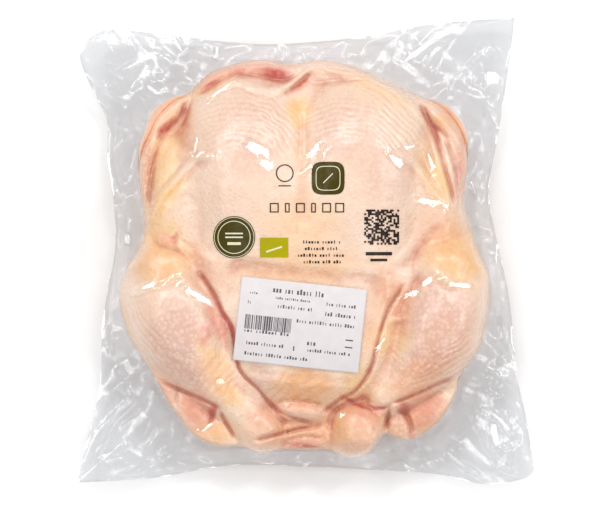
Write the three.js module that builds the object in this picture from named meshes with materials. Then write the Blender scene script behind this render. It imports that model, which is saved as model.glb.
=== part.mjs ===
// A whole raw chicken, vacuum-packed in a clear bag, with a paper label stuck on the film.
// Millimetres, +Z up. The bird lies breast up, its neck towards +Y and its legs towards -Y.
// The origin is on the surface that the pack lies on, under the middle of the bag.
// The film clings to the bird, so the sealed pack is one solid between a front and a back film.

import * as THREE from "three";

// Driving sizes
const BAG_WIDTH = 219.6;
const BAG_LENGTH = 224;
const SEAM_HEIGHT = 15;
const MARGIN_THICKNESS = 1.2;
const RIM_THICKNESS = 0.8;
const FILM_CLING = 0.4;
const LABEL_WIDTH = 60;
const LABEL_LENGTH = 40;
const LABEL_THICKNESS = 0.5;
const LABEL_GAP = 0.35;

// Cells of the meshes
const BAG_CELLS = 66;
const LABEL_CELLS = [20, 14];

// How the empty margin of the bag lies
const RIM_DROOP = 8;
const RIM_SHARE = 0.17;
const FOLD_HEIGHT = 1.5;
const FOLDS_ROUND = [11, 17, 29];
const CORNER_REACH = 62;
const CORNER_LIFT = { lowLeft: 3, lowRight: 6, highLeft: 11, highRight: 7 };

// The rim of the bag, as knots along each side: how far along, then how far out
const HALF_WIDTH = BAG_WIDTH / 2;
const HALF_LENGTH = BAG_LENGTH / 2;
const CORNERS = {
  lowLeft: [-HALF_WIDTH, -HALF_LENGTH + 1],
  lowRight: [HALF_WIDTH, -HALF_LENGTH + 4],
  highLeft: [-105.4, 101],
  highRight: [100, HALF_LENGTH],
};
const SIDES = {
  low: [[-74, -109], [-37, -103], [0, -103.5], [37, -105.3], [62, -107], [88, -HALF_LENGTH]],
  high: [[-95, 106], [-64, 103.3], [-23, 99.5], [0, 100.3], [30, 103.4], [61, 109]],
  left: [[-88, -104.8], [-66, -99.4], [-30, -97.5], [0, -92], [25, -92.5], [45, -95.5], [63, -95.8],
    [74, -101], [93, -108.4]],
  right: [[-80, 105.5], [-60, 101.3], [-25, 98], [8, 91], [28, 87.7], [55, 92], [88, 97]],
};

// Rounded masses of the bird, seen from above: middle, half width and length, turn in degrees,
// height of the top, and how softly each one joins what it meets
const LOBES = {
  trunk: { at: [-1, 14], half: [70, 77], turn: 0, top: 46, soft: 4 },
  breastLeft: { at: [-27, 37], half: [35, 52], turn: 7, top: 51, soft: 9 },
  breastRight: { at: [26, 38], half: [37, 52], turn: -9, top: 51.5, soft: 9 },
  belly: { at: [0, -33], half: [52, 45], turn: 0, top: 45, soft: 9 },
  flankLeft: { at: [-65, 27], half: [14, 36], turn: -4, top: 33, soft: 6 },
  flankRight: { at: [63, 28], half: [15, 38], turn: 5, top: 35, soft: 6 },
  shoulderLeft: { at: [-43.5, 79], half: [15, 9], turn: 28, top: 30, soft: 3 },
  neckStump: { at: [-17, 84], half: [22, 8], turn: 4, top: 31, soft: 3 },
  neckSkin: { at: [14, 84], half: [20, 8.5], turn: -6, top: 34, soft: 4 },
  shoulderRight: { at: [39, 77], half: [23, 10], turn: -28, top: 36, soft: 5 },
  wingLeft: { at: [-66.5, 64], half: [10.5, 17], turn: -40, top: 30, soft: 4 },
  wingRight: { at: [64, 63], half: [14, 15], turn: 20, top: 32, soft: 4 },
  kneeLeft: { at: [-66, -8], half: [20, 17], turn: 12, top: 41, soft: 6 },
  kneeRight: { at: [67, -8], half: [20, 17], turn: -12, top: 41, soft: 6 },
  hockLeft: { at: [-19.5, -84.5], half: [11, 9.5], turn: 20, top: 31, soft: 7 },
  hockRight: { at: [25.5, -84], half: [14, 14], turn: 0, top: 34, soft: 8 },
  tail: { at: [-1, -84], half: [15, 12], turn: 0, top: 27, soft: 7 },
  rumpLeft: { at: [-61, -65], half: [10, 13], turn: 20, top: 24, soft: 4 },
  backMeatLeft: { at: [-53, -73], half: [12, 17], turn: 40, top: 25, soft: 4 },
  rumpSkinLeft: { at: [-43, -85], half: [15, 8], turn: -12, top: 24, soft: 4 },
  rumpRight: { at: [59, -69], half: [14, 18], turn: -35, top: 25, soft: 4 },
  wingTipRight: { at: [44, -82.5], half: [7.5, 10], turn: 20, top: 26, soft: 3 },
};

// Long masses: a line of knots, each with its place, the height of its middle, and its radius
const LIMBS = {
  drumstickLeft: {
    soft: 8,
    knots: [[-70, -8, 19, 17], [-66, -22, 22, 21], [-58, -39, 23, 21.5], [-46, -57, 22, 16],
      [-33, -73, 21, 11.5], [-22, -84, 20, 10]],
  },
  drumstickRight: {
    soft: 8,
    knots: [[71, -8, 19, 17], [69, -22, 22, 20.5], [62, -40, 23, 21], [52, -56, 23, 15.5],
      [39, -69, 22, 10.5]],
  },
  wingForearmLeft: {
    soft: 4,
    knots: [[-72, 53, 19, 8.5], [-76, 35, 18, 7.5], [-78, 15, 17, 6.5], [-78, 3, 17, 6]],
  },
  wingForearmRight: {
    soft: 4,
    knots: [[71, 56, 20, 9], [75.5, 40, 19, 7.5], [76.5, 22, 18, 6]],
  },
};
const LIMB_STEPS = 6;

// Masses of the underside, which hang below the seam: the back is flat where it lies on the surface
const UNDER_LOBES = {
  back: { at: [0, 5], half: [77, 85], turn: 0, bottom: -9, soft: 4 },
  thighLeft: { at: [-63, -24], half: [25, 33], turn: 14, bottom: 4, soft: 5 },
  thighRight: { at: [64, -24], half: [25, 33], turn: -14, bottom: 4, soft: 5 },
  rump: { at: [0, -78], half: [68, 19], turn: 0, bottom: 6, soft: 5 },
};
const GROUND_SOFT = 3;

// How square the lobes are, how steep the film can stand, how softly it leaves the margin,
// and the share of the bag at the rim in which its two films are pulled together
const LOBE_POWER = 2.2;
const FILM_SLOPE = 1.75;
const BRIDGE_SOFT = 6;
const RIM_PINCH = 0.045;

// The label: its middle, its turn, and how far the film round it is drawn flat
const LABEL_AT = [-3, -35];
const LABEL_TURN = -6.1;
const LABEL_TOP = 45.4;
const LABEL_RADIUS = { across: 90, along: 75 };
const LABEL_TILT = 0.1;
const LABEL_CORNER = 2.2;
const LABEL_BORDER = 7;

const FILM_COLOUR = 0xf0c9ad;
const PAPER_COLOUR = 0xf1edec;

const clamp01 = (t) => Math.min(1, Math.max(0, t));
const smoothStep = (t) => clamp01(t) ** 2 * (3 - 2 * clamp01(t));

// The larger of two heights, rounded over a hollow as wide as soft
function softMax(a, b, soft) {
  const near = Math.max(soft - Math.abs(a - b), 0) / soft;
  return Math.max(a, b) + (near * near * soft) / 4;
}

const softMin = (a, b, soft) => -softMax(-a, -b, soft);

// A point turned back by an angle about a middle
function localPoint([x, y], [middleX, middleY], degrees) {
  const angle = THREE.MathUtils.degToRad(degrees);
  const dx = x - middleX;
  const dy = y - middleY;
  return [dx * Math.cos(angle) + dy * Math.sin(angle), dy * Math.cos(angle) - dx * Math.sin(angle)];
}

// The height of a round dome at a share of its radius, straight on down from where it is steepest
function dome(out, steepest) {
  const run = Math.hypot(1, steepest);
  const edge = steepest / run;
  return out < edge ? Math.sqrt(1 - out * out) : 1 / run - steepest * (out - edge);
}

// The height of a lobe that stands on the seam, or hangs below it, up to its crest
function lobeHeight(lobe, crest, point) {
  const [across, along] = localPoint(point, lobe.at, lobe.turn);
  const [width, length] = lobe.half;
  const sum = Math.abs(across / width) ** LOBE_POWER + Math.abs(along / length) ** LOBE_POWER;
  const rise = crest - SEAM_HEIGHT;
  const steepest = (FILM_SLOPE * Math.min(width, length)) / Math.abs(rise);
  return SEAM_HEIGHT + rise * dome(sum ** (1 / LOBE_POWER), steepest);
}

// A smooth line through knots, as evenly stepped places along each stretch
function alongKnots(knots, steps) {
  const curves = [0, 1].map((half) => new THREE.CatmullRomCurve3(
    knots.map((knot) => new THREE.Vector3(knot[2 * half], knot[2 * half + 1], 0)),
    false,
    "catmullrom",
  ));
  const count = steps * (knots.length - 1);
  return Array.from({ length: count + 1 }, (_, i) => {
    const [place, round] = curves.map((curve) => curve.getPoint(i / count));
    return { x: place.x, y: place.y, z: round.x, radius: round.y };
  });
}

const limbLines = Object.values(LIMBS).map((limb) => (
  { soft: limb.soft, balls: alongKnots(limb.knots, LIMB_STEPS) }));

// The top of a row of balls of changing size, joined like a tapered tube
function limbTop(balls, [x, y]) {
  let top = -Infinity;
  for (let i = 1; i < balls.length; i += 1) {
    const from = balls[i - 1];
    const to = balls[i];
    const run = [to.x - from.x, to.y - from.y];
    const share = clamp01(((x - from.x) * run[0] + (y - from.y) * run[1]) / (run[0] ** 2 + run[1] ** 2));
    const radius = from.radius + share * (to.radius - from.radius);
    const away = Math.hypot(x - from.x - share * run[0], y - from.y - share * run[1]);
    const middle = from.z + share * (to.z - from.z);
    top = Math.max(top, middle + radius * dome(away / radius, FILM_SLOPE));
  }
  return top;
}

// The top of the bird over a point
function birdTop(point) {
  let top = -BAG_LENGTH;
  for (const lobe of Object.values(LOBES)) {
    top = softMax(top, lobeHeight(lobe, lobe.top, point), lobe.soft);
  }
  for (const limb of limbLines) {
    top = softMax(top, limbTop(limb.balls, point), limb.soft);
  }
  return top;
}

// The underside of the bird over a point, flat on the ground in the middle
function birdBottom(point) {
  let bottom = BAG_LENGTH;
  for (const lobe of Object.values(UNDER_LOBES)) {
    bottom = softMin(bottom, lobeHeight(lobe, lobe.bottom, point), lobe.soft);
  }
  return softMax(bottom, 0, GROUND_SOFT);
}

// A smooth curve through pairs of (along, out), read at one place along
function throughKnots(knots, at) {
  const last = knots.length - 1;
  const inside = knots.slice(1, last);
  const i = 1 + inside.filter((knot) => knot[0] < at).length;
  const [from, to] = [knots[i - 1], knots[i]];
  const slopeOf = (k) => {
    const [before, after] = [knots[Math.max(k - 1, 0)], knots[Math.min(k + 1, last)]];
    return (after[1] - before[1]) / (after[0] - before[0]);
  };
  const gap = to[0] - from[0];
  const t = (at - from[0]) / gap;
  return from[1] * (1 + 2 * t) * (1 - t) ** 2 + to[1] * t * t * (3 - 2 * t)
    + slopeOf(i - 1) * gap * t * (1 - t) ** 2 + slopeOf(i) * gap * t * t * (t - 1);
}

// One side of the rim: its corner knots added, read at a share of the way along it
function sidePoint(side, from, to, upright, share) {
  const flip = ([x, y]) => (upright ? [y, x] : [x, y]);
  const knots = [flip(from), ...SIDES[side], flip(to)];
  const along = knots[0][0] + share * (knots[knots.length - 1][0] - knots[0][0]);
  return flip([along, throughKnots(knots, along)]);
}

// A place in the bag's plan, from shares of its width and length: the four sides of the rim, blended
function bagPlace(u, v) {
  const { lowLeft, lowRight, highLeft, highRight } = CORNERS;
  const low = sidePoint("low", lowLeft, lowRight, false, u);
  const high = sidePoint("high", highLeft, highRight, false, u);
  const left = sidePoint("left", lowLeft, highLeft, true, v);
  const right = sidePoint("right", lowRight, highRight, true, v);
  return [0, 1].map((k) => (1 - v) * low[k] + v * high[k] + (1 - u) * left[k] + u * right[k]
    - (1 - v) * ((1 - u) * lowLeft[k] + u * lowRight[k]) - v * ((1 - u) * highLeft[k] + u * highRight[k]));
}

const fromRim = (u, v) => Math.min(u, 1 - u, v, 1 - v);

// Sharp folds that run outwards, one set of them for each count round the bag
function radialFolds([x, y]) {
  const turn = Math.atan2(y, x);
  return FOLDS_ROUND.reduce((sum, count, i) => (
    sum + (1 - 2 * Math.abs(Math.sin((count * turn) / 2 + i))) / (i + 1)), 0);
}

// The middle height of the two films where nothing is between them: it droops to the rim in folds
function marginMiddle(u, v, [x, y]) {
  const nearRim = clamp01(1 - fromRim(u, v) / RIM_SHARE);
  const lift = Object.entries(CORNERS).reduce((sum, [name, corner]) => {
    const away = Math.hypot(x - corner[0], y - corner[1]);
    return sum + CORNER_LIFT[name] * clamp01(1 - away / CORNER_REACH) ** 2;
  }, 0);
  const folds = FOLD_HEIGHT * radialFolds([x, y]) * smoothStep(nearRim * 1.5);
  return SEAM_HEIGHT - RIM_DROOP * nearRim + lift + folds;
}

// The underside of the label over a point, a shallow barrel that leans towards the legs
function labelBottom(point) {
  const [across, along] = localPoint(point, LABEL_AT, LABEL_TURN);
  return LABEL_TOP + LABEL_TILT * along
    - across ** 2 / (2 * LABEL_RADIUS.across) - along ** 2 / (2 * LABEL_RADIUS.along);
}

// How much the label holds the film under it: 1 under the paper, 0 past a border round it
function labelHold(point) {
  const [across, along] = localPoint(point, LABEL_AT, LABEL_TURN);
  const past = Math.hypot(
    Math.max(Math.abs(across) - LABEL_WIDTH / 2, 0),
    Math.max(Math.abs(along) - LABEL_LENGTH / 2, 0),
  );
  return 1 - smoothStep(past / LABEL_BORDER);
}

// The front of the pack: the film over the bird, drawn down to the margin
function packTop(u, v) {
  const point = bagPlace(u, v);
  const margin = marginMiddle(u, v, point) + MARGIN_THICKNESS / 2;
  const loose = softMax(birdTop(point) + FILM_CLING, margin, BRIDGE_SOFT);
  const film = margin + (loose - margin) * smoothStep(fromRim(u, v) / RIM_PINCH);
  const hold = labelHold(point);
  return [...point, film + hold * (labelBottom(point) - LABEL_GAP - film)];
}

// The back of the pack, never closer to the front than the margin's two films
function packBottom(u, v) {
  const point = bagPlace(u, v);
  const margin = marginMiddle(u, v, point) - MARGIN_THICKNESS / 2;
  const loose = softMin(birdBottom(point), margin, BRIDGE_SOFT);
  const film = margin + (loose - margin) * smoothStep(fromRim(u, v) / RIM_PINCH);
  return [...point, Math.max(0, film)];
}

// A closed solid between two sheets over one grid. Inside its rim the lower sheet is coarser,
// with one cell for skip cells of the upper one each way.
function sheetSolid(cells, skip, topAt, bottomAt) {
  const [across, along] = cells;
  const positions = [];
  const faces = [];
  const add = (point) => positions.push(...point) / 3 - 1;
  const grid = (at) => Array.from({ length: across + 1 }, (_, i) => (
    Array.from({ length: along + 1 }, (__, j) => at(i, j))));
  const onRim = (i, j) => i === 0 || j === 0 || i === across || j === along;
  const upper = grid((i, j) => add(topAt(i / across, j / along)));
  const lower = grid((i, j) => (onRim(i, j) || (i % skip === 0 && j % skip === 0)
    ? add(bottomAt(i / across, j / along)) : null));
  for (let i = 0; i < across; i += 1) {
    for (let j = 0; j < along; j += 1) {
      const corner = [upper[i][j], upper[i + 1][j], upper[i + 1][j + 1], upper[i][j + 1]];
      const height = corner.map((index) => positions[3 * index + 2]);
      const bend = Math.abs(height[0] - height[2]) < Math.abs(height[1] - height[3]) ? 0 : 1;
      faces.push(corner[bend], corner[1 + bend], corner[2 + bend]);
      faces.push(corner[bend], corner[2 + bend], corner[(3 + bend) % 4]);
    }
  }
  for (let i = 0; i < across; i += skip) {
    for (let j = 0; j < along; j += skip) {
      lowerCell(lower, i, j, skip, across, along).forEach((face) => faces.push(...face));
    }
  }
  const rim = rimLoop(across, along);
  rim.forEach(([i, j], k) => {
    const [nextI, nextJ] = rim[(k + 1) % rim.length];
    faces.push(upper[i][j], lower[i][j], upper[nextI][nextJ]);
    faces.push(lower[i][j], lower[nextI][nextJ], upper[nextI][nextJ]);
  });
  const geometry = new THREE.BufferGeometry();
  geometry.setAttribute("position", new THREE.Float32BufferAttribute(positions, 3));
  geometry.setIndex(faces);
  geometry.computeVertexNormals();
  return geometry;
}

// The grid places round the rim, counter-clockwise from above
function rimLoop(across, along) {
  const loop = [];
  for (let i = 0; i < across; i += 1) loop.push([i, 0]);
  for (let j = 0; j < along; j += 1) loop.push([across, j]);
  for (let i = across; i > 0; i -= 1) loop.push([i, along]);
  for (let j = along; j > 0; j -= 1) loop.push([0, j]);
  return loop;
}

// The downward faces of one large lower cell: a fan from the corner that is away from the rim
function lowerCell(lower, i, j, skip, across, along) {
  const loop = [];
  const walk = (fromI, fromJ, stepI, stepJ) => {
    for (let k = 0; k < skip; k += 1) {
      const index = lower[fromI + k * stepI][fromJ + k * stepJ];
      const hidden = k > 0 && !(stepI ? fromJ === 0 || fromJ === along : fromI === 0 || fromI === across);
      if (!hidden) loop.push({ i: fromI + k * stepI, j: fromJ + k * stepJ, index });
    }
  };
  walk(i, j, 1, 0);
  walk(i + skip, j, 0, 1);
  walk(i + skip, j + skip, -1, 0);
  walk(i, j + skip, 0, -1);
  const apex = { i: i === 0 ? i + skip : i, j: j === 0 ? j + skip : j };
  const start = loop.findIndex((knot) => knot.i === apex.i && knot.j === apex.j);
  const turned = [...loop.slice(start), ...loop.slice(0, start)].map((knot) => knot.index);
  return turned.slice(2).map((index, k) => [turned[0], index, turned[k + 1]]);
}

// A place on the label, with its corners rounded
function labelPlace(u, v) {
  const [halfWidth, halfLength] = [LABEL_WIDTH / 2, LABEL_LENGTH / 2];
  let across = (2 * u - 1) * halfWidth;
  let along = (2 * v - 1) * halfLength;
  const pastX = Math.abs(across) - (halfWidth - LABEL_CORNER);
  const pastY = Math.abs(along) - (halfLength - LABEL_CORNER);
  const past = Math.hypot(pastX, pastY);
  if (pastX > 0 && pastY > 0 && past > LABEL_CORNER) {
    across -= Math.sign(across) * pastX * (1 - LABEL_CORNER / past);
    along -= Math.sign(along) * pastY * (1 - LABEL_CORNER / past);
  }
  const angle = THREE.MathUtils.degToRad(LABEL_TURN);
  return [
    LABEL_AT[0] + across * Math.cos(angle) - along * Math.sin(angle),
    LABEL_AT[1] + across * Math.sin(angle) + along * Math.cos(angle),
  ];
}

const labelSheet = (raise) => (u, v) => {
  const point = labelPlace(u, v);
  return [...point, labelBottom(point) + raise];
};

function packGeometry() {
  const bottomAt = (u, v) => {
    const point = packBottom(u, v);
    const rim = u === 0 || v === 0 || u === 1 || v === 1;
    return rim ? [point[0], point[1], packTop(u, v)[2] - RIM_THICKNESS] : point;
  };
  return sheetSolid([BAG_CELLS, BAG_CELLS], 2, packTop, bottomAt);
}

function piece(name, geometry, colour, roughness) {
  const material = new THREE.MeshStandardMaterial({ color: colour, roughness, metalness: 0 });
  const mesh = new THREE.Mesh(geometry, material);
  mesh.name = name;
  return mesh;
}

const labelGeometry = () => sheetSolid(LABEL_CELLS, 1, labelSheet(LABEL_THICKNESS), labelSheet(0));

const chickenPack = new THREE.Group();
chickenPack.add(
  piece("bagged_chicken", packGeometry(), FILM_COLOUR, 0.25),
  piece("paper_label", labelGeometry(), PAPER_COLOUR, 0.5),
);

export default chickenPack;
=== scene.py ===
# %% [markdown]
# # A whole raw chicken in a clear vacuum bag
#
# A dressed chicken lies breast up with its legs folded in. The air has been drawn out of its bag, so the film
# follows every bulge, and the empty margins of the bag are crumpled flat. A paper label is stuck on the
# belly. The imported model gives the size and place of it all. This script makes the bird, the two films, the
# print and the label as fine meshes over it, and gives each a procedural material.

# %% Load the frame
import math

import bpy
import numpy as np
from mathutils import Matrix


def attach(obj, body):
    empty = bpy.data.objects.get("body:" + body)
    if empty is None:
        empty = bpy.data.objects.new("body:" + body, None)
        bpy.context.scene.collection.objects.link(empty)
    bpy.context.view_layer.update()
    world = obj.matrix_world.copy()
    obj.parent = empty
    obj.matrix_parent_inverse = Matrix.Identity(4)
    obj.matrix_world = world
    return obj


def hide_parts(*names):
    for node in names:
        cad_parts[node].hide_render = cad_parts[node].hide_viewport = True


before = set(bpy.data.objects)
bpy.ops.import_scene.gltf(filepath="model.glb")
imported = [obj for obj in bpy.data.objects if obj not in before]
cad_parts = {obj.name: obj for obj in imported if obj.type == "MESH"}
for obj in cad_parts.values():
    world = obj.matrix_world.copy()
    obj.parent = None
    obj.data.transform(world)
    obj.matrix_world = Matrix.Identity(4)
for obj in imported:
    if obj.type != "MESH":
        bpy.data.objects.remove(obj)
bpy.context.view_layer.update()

MM = 0.001

# %% [markdown]
# ## Floor, camera and light
#
# The pack was shot from straight above on a white table, so the camera looks down and +Y is up in the
# picture. A long lens far away keeps the picture nearly free of perspective. The light is soft: a pale room
# all round lights the skin, and thin bright strips stand in a ring. Flat film mirrors only the room. Each
# crease of the film bends through a slope that faces a strip, and turns into the white streaks that say
# "plastic". One large lamp would be easier, but it lays one broad white patch over the skin instead.

# %% Floor and camera
TABLE_SIZE = 6.0
TABLE_WHITE = (0.93, 0.93, 0.93, 1)
TABLE_ROUGHNESS = 0.9
PICTURE_MIDDLE = (-3.0, -1.1)
PICTURE_WIDTH = 288.0
SHARP_HEIGHT = 10.0
LENS = 400.0
SENSOR = 36.0
CAMERA_REACH = 20.0
CAMERA_AT = np.array([*PICTURE_MIDDLE, PICTURE_WIDTH * LENS / SENSOR + SHARP_HEIGHT])


def make_stage():
    bpy.ops.mesh.primitive_plane_add(size=TABLE_SIZE, location=(0, 0, 0))
    floor = bpy.context.object
    floor.name = "table"
    paint = bpy.data.materials.new("white_table")
    paint.use_nodes = True
    paint.node_tree.nodes["Principled BSDF"].inputs["Base Color"].default_value = TABLE_WHITE
    paint.node_tree.nodes["Principled BSDF"].inputs["Roughness"].default_value = TABLE_ROUGHNESS
    floor.data.materials.append(paint)


def make_camera():
    data = bpy.data.cameras.new("camera")
    data.lens = LENS
    data.sensor_width = SENSOR
    data.clip_end = CAMERA_REACH
    camera = bpy.data.objects.new("camera", data)
    bpy.context.scene.collection.objects.link(camera)
    camera.location = CAMERA_AT * MM
    bpy.context.scene.camera = camera
    print("camera height, m:", round(camera.location.z, 3))


make_stage()
make_camera()

# %% Lights
# Strips of light in a broken ring round the pack: turn round it, degrees off the vertical, length and width
# in metres, power in watts
STRIPS = {
    "strip_back_left": (118, 38, 0.50, 0.09, 3.0),
    "strip_back_right": (58, 40, 0.45, 0.08, 2.4),
    "strip_right": (2, 44, 0.45, 0.06, 2.1),
    "strip_front_right": (-52, 42, 0.40, 0.06, 1.1),
    "strip_front_left": (-118, 44, 0.45, 0.06, 1.1),
    "strip_left": (172, 40, 0.50, 0.08, 1.9),
}
STRIP_DISTANCE = 1.1
ROOM_LIGHT = 0.5


def strip_place(turn, off):
    turn, off = math.radians(turn), math.radians(off)
    way = np.array([math.sin(off) * math.cos(turn), math.sin(off) * math.sin(turn), math.cos(off)])
    return way * STRIP_DISTANCE


def make_strip(name, turn, off, length, width, power):
    data = bpy.data.lights.new(name, "AREA")
    data.shape = "RECTANGLE"
    data.size, data.size_y = length, width
    data.energy = power
    strip = bpy.data.objects.new(name, data)
    bpy.context.scene.collection.objects.link(strip)
    strip.location = strip_place(turn, off)
    strip.rotation_euler = (math.radians(off), 0, math.radians(turn) + math.pi / 2)


for strip_name, strip_values in STRIPS.items():
    make_strip(strip_name, *strip_values)

world = bpy.data.worlds.new("room")
world.use_nodes = True
world.node_tree.nodes["Background"].inputs["Color"].default_value = (1, 1, 1, 1)
world.node_tree.nodes["Background"].inputs["Strength"].default_value = ROOM_LIGHT
bpy.context.scene.world = world
bpy.context.scene.view_settings.view_transform = "Standard"
print("strips of light:", len(STRIPS), "of", sum(strip[4] for strip in STRIPS.values()), "W in all")

# %% [markdown]
# ## Helpers for round forms
#
# The bird is soft and round, so its shape is a height over each point of the plan: domes and tapered limbs,
# joined by a maximum that is rounded where two of them meet. Sculpting by hand would give round forms too,
# but none that a number can change. Metaballs join as softly, but can't be pressed flat or drawn to an
# outline. The functions take whole arrays of points, since the meshes have tens of thousands. All lengths are
# in millimetres until a mesh is made.

# %% Rounded joins
def soft_max(a, b, soft):
    """The larger of two heights, rounded over a hollow as wide as soft."""
    near = np.maximum(soft - np.abs(a - b), 0) / soft
    return np.maximum(a, b) + near * near * soft / 4


def soft_min(a, b, soft):
    return -soft_max(-a, -b, soft)


def smooth_step(t):
    t = np.clip(t, 0, 1)
    return t * t * (3 - 2 * t)


def turned_back(x, y, at, degrees):
    angle = math.radians(degrees)
    dx, dy = x - at[0], y - at[1]
    return dx * math.cos(angle) + dy * math.sin(angle), dy * math.cos(angle) - dx * math.sin(angle)


print("two equal heights of 10, joined over 4 mm:", float(soft_max(10.0, 10.0, 4.0)))


# %% Domes and curves
def dome(out, steepest):
    """A round dome's height at a share of its radius, straight on down from where it is steepest."""
    run = np.hypot(1, steepest)
    edge = steepest / run
    return np.where(out < edge, np.sqrt(np.maximum(1 - out * out, 0)), 1 / run - steepest * (out - edge))


def curve_points(knots, steps):
    """A Catmull-Rom curve through knots of any size, as evenly stepped rows."""
    knots = np.array(knots, float)
    ends = np.vstack([2 * knots[0] - knots[1], knots, 2 * knots[-1] - knots[-2]])
    t = np.linspace(0, 1, steps, endpoint=False)[:, None]
    rows = []
    for a, b, c, d in zip(ends[:-3], ends[1:-2], ends[2:-1], ends[3:]):
        rows.append(0.5 * (2 * b + (c - a) * t + (2 * a - 5 * b + 4 * c - d) * t**2
                           + (3 * b - a - 3 * c + d) * t**3))
    return np.vstack(rows + [knots[-1:]])


def nearest(x, y, line):
    """Each point's distance to a line of (x, y, ...) rows, and the row's values at the nearest place."""
    gap = np.full(x.shape, 1e9)
    values = np.zeros(x.shape + (line.shape[1],))
    for start, end in zip(line[:-1], line[1:]):
        run = end[:2] - start[:2]
        t = np.clip(((x - start[0]) * run[0] + (y - start[1]) * run[1]) / (run @ run), 0, 1)
        away = np.hypot(x - start[0] - t * run[0], y - start[1] - t * run[1])
        closer = away < gap
        gap = np.where(closer, away, gap)
        values = np.where(closer[..., None], start + t[..., None] * (end - start), values)
    return gap, values


print("a dome's height at half its radius:", round(float(dome(np.array(0.5), 2.0)), 3))

# %% Smooth noise
LUMP_SQUARES = 96


def lumps(x, y, size, seed):
    """Smooth noise from -1 to 1, with one random height for every square of the given size. Its last row and
    column are the first ones again, so the noise has no step where the squares start over."""
    grid = np.random.default_rng(seed).uniform(-1, 1, (LUMP_SQUARES + 1, LUMP_SQUARES + 1))
    grid[-1], grid[:, -1] = grid[0], grid[:, 0]
    gx, gy = (x / size) % LUMP_SQUARES, (y / size) % LUMP_SQUARES
    i, j = gx.astype(int), gy.astype(int)
    s, t = smooth_step(gx - i), smooth_step(gy - j)
    low = grid[i, j] * (1 - s) + grid[i + 1, j] * s
    high = grid[i, j + 1] * (1 - s) + grid[i + 1, j + 1] * s
    return low * (1 - t) + high * t


print("noise at one place:", round(float(lumps(np.array([3.0]), np.array([4.0]), 10, 1)[0]), 3))

# %% [markdown]
# ## The masses of the bird
#
# Each mass is one named part of the carcass as it lies: two breast halves over the trunk, the belly, the
# flanks, folded wings, the legs with their knees at the sides and their hocks drawn together at the tail. The
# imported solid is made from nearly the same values, joined softly, as the film bridges them. Here the bird
# takes them with tighter joins, so that real creases run between its parts, and the masses at its edge reach
# a little further out, to the outline that shows through the film.

# %% Masses of the bird
# A lobe: middle, half width and length, turn in degrees, height of its crest, softness of its join
SEAM = 15.0
FILM_SLOPE = 1.75
LOBE_POWER = 2.2
LOBES = {
    "trunk": ((-1, 14), (70, 77), 0, 46, 4),
    "breast_left": ((-27, 37), (35, 52), 7, 51, 9),
    "breast_right": ((26, 38), (37, 52), -9, 51.5, 9),
    "belly": ((0, -33), (52, 45), 0, 45, 9),
    "flank_left": ((-60, 26), (20, 38), -4, 37, 9),
    "flank_right": ((59, 27), (20, 39), 5, 38, 9),
    "shoulder_left": ((-45, 82), (18, 13), 28, 31, 3),
    "neck_stump": ((-17, 88), (26, 13), 4, 32, 3),
    "neck_skin": ((14, 88), (24, 13), -6, 34, 4),
    "shoulder_right": ((40, 79), (25, 12.5), -28, 36, 5),
    "wing_left": ((-71, 66.5), (17.5, 23), -40, 32, 4),
    "wing_right": ((68.5, 64.5), (19.5, 21), 20, 34, 4),
    "knee_left": ((-66, -8), (20, 17), 12, 41, 6),
    "knee_right": ((67, -8), (20, 17), -12, 41, 6),
    "hock_left": ((-20.5, -87), (13, 12), 20, 31, 7),
    "hock_right": ((25.5, -85.5), (15, 16), 0, 34, 8),
    "tail": ((-1, -87), (16, 14), 0, 27, 7),
    "vent_skin": ((-3, -76), (15, 6.5), -6, 33, 5),
    "rump_left": ((-63, -67), (13, 15), 20, 25, 4),
    "back_meat_left": ((-55, -75.5), (14.5, 19), 40, 26, 4),
    "rump_skin_left": ((-43.5, -87.5), (17, 11), -12, 25, 4),
    "rump_right": ((61.5, -71.5), (16.5, 21), -35, 26, 4),
    "wing_tip_right": ((44.5, -84.5), (8, 12), 20, 26, 3),
}
# A limb: softness of its join, then knots of place, height of its middle, and radius
LIMBS = {
    "drumstick_left": (8, [(-70, -8, 19, 17), (-66, -22, 22, 21), (-58, -39, 23, 21.5), (-46, -57, 22, 16),
                           (-33, -73, 21, 11.5), (-22, -84, 20, 10)]),
    "drumstick_right": (8, [(71, -8, 19, 17), (69, -22, 22, 20.5), (62, -40, 23, 21), (52, -56, 23, 15.5),
                            (39, -69, 22, 10.5)]),
    "wing_forearm_left": (4, [(-76.5, 53, 19, 13.5), (-80.5, 35, 18, 12.5), (-82, 15, 17, 11),
                              (-81, 3, 17, 10)]),
    "wing_forearm_right": (4, [(75.5, 57, 20, 14), (80, 40, 19, 12.5), (81, 22, 18, 11)]),
}
UNDER_LOBES = {
    "back": ((0, 5), (77, 85), 0, -9, 4),
    "thigh_left": ((-63, -24), (25, 33), 14, 4, 5),
    "thigh_right": ((64, -24), (25, 33), -14, 4, 5),
    "rump": ((0, -78), (68, 19), 0, 6, 5),
}
# Masses with a clear edge, whose joins are made tight on the bird
CRISP = ("wing_left", "wing_right", "shoulder_left", "neck_stump", "hock_right", "tail", "wing_tip_right",
         "rump_left", "back_meat_left", "rump_skin_left", "rump_right")
print("masses:", len(LOBES) + len(LIMBS), "on top,", len(UNDER_LOBES), "under,",
      len(CRISP), "with a clear edge")

# %% Height of the joined masses
NO_TOP, NO_BOTTOM = -200.0, 200.0
TABLE_SOFT = 3.0


def lobe_height(x, y, lobe, slope):
    at, (width, length), turn, crest, _ = lobe
    across, along = turned_back(x, y, at, turn)
    out = (np.abs(across / width) ** LOBE_POWER + np.abs(along / length) ** LOBE_POWER) ** (1 / LOBE_POWER)
    rise = crest - SEAM
    return SEAM + rise * dome(out, slope * min(width, length) / abs(rise))


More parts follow.
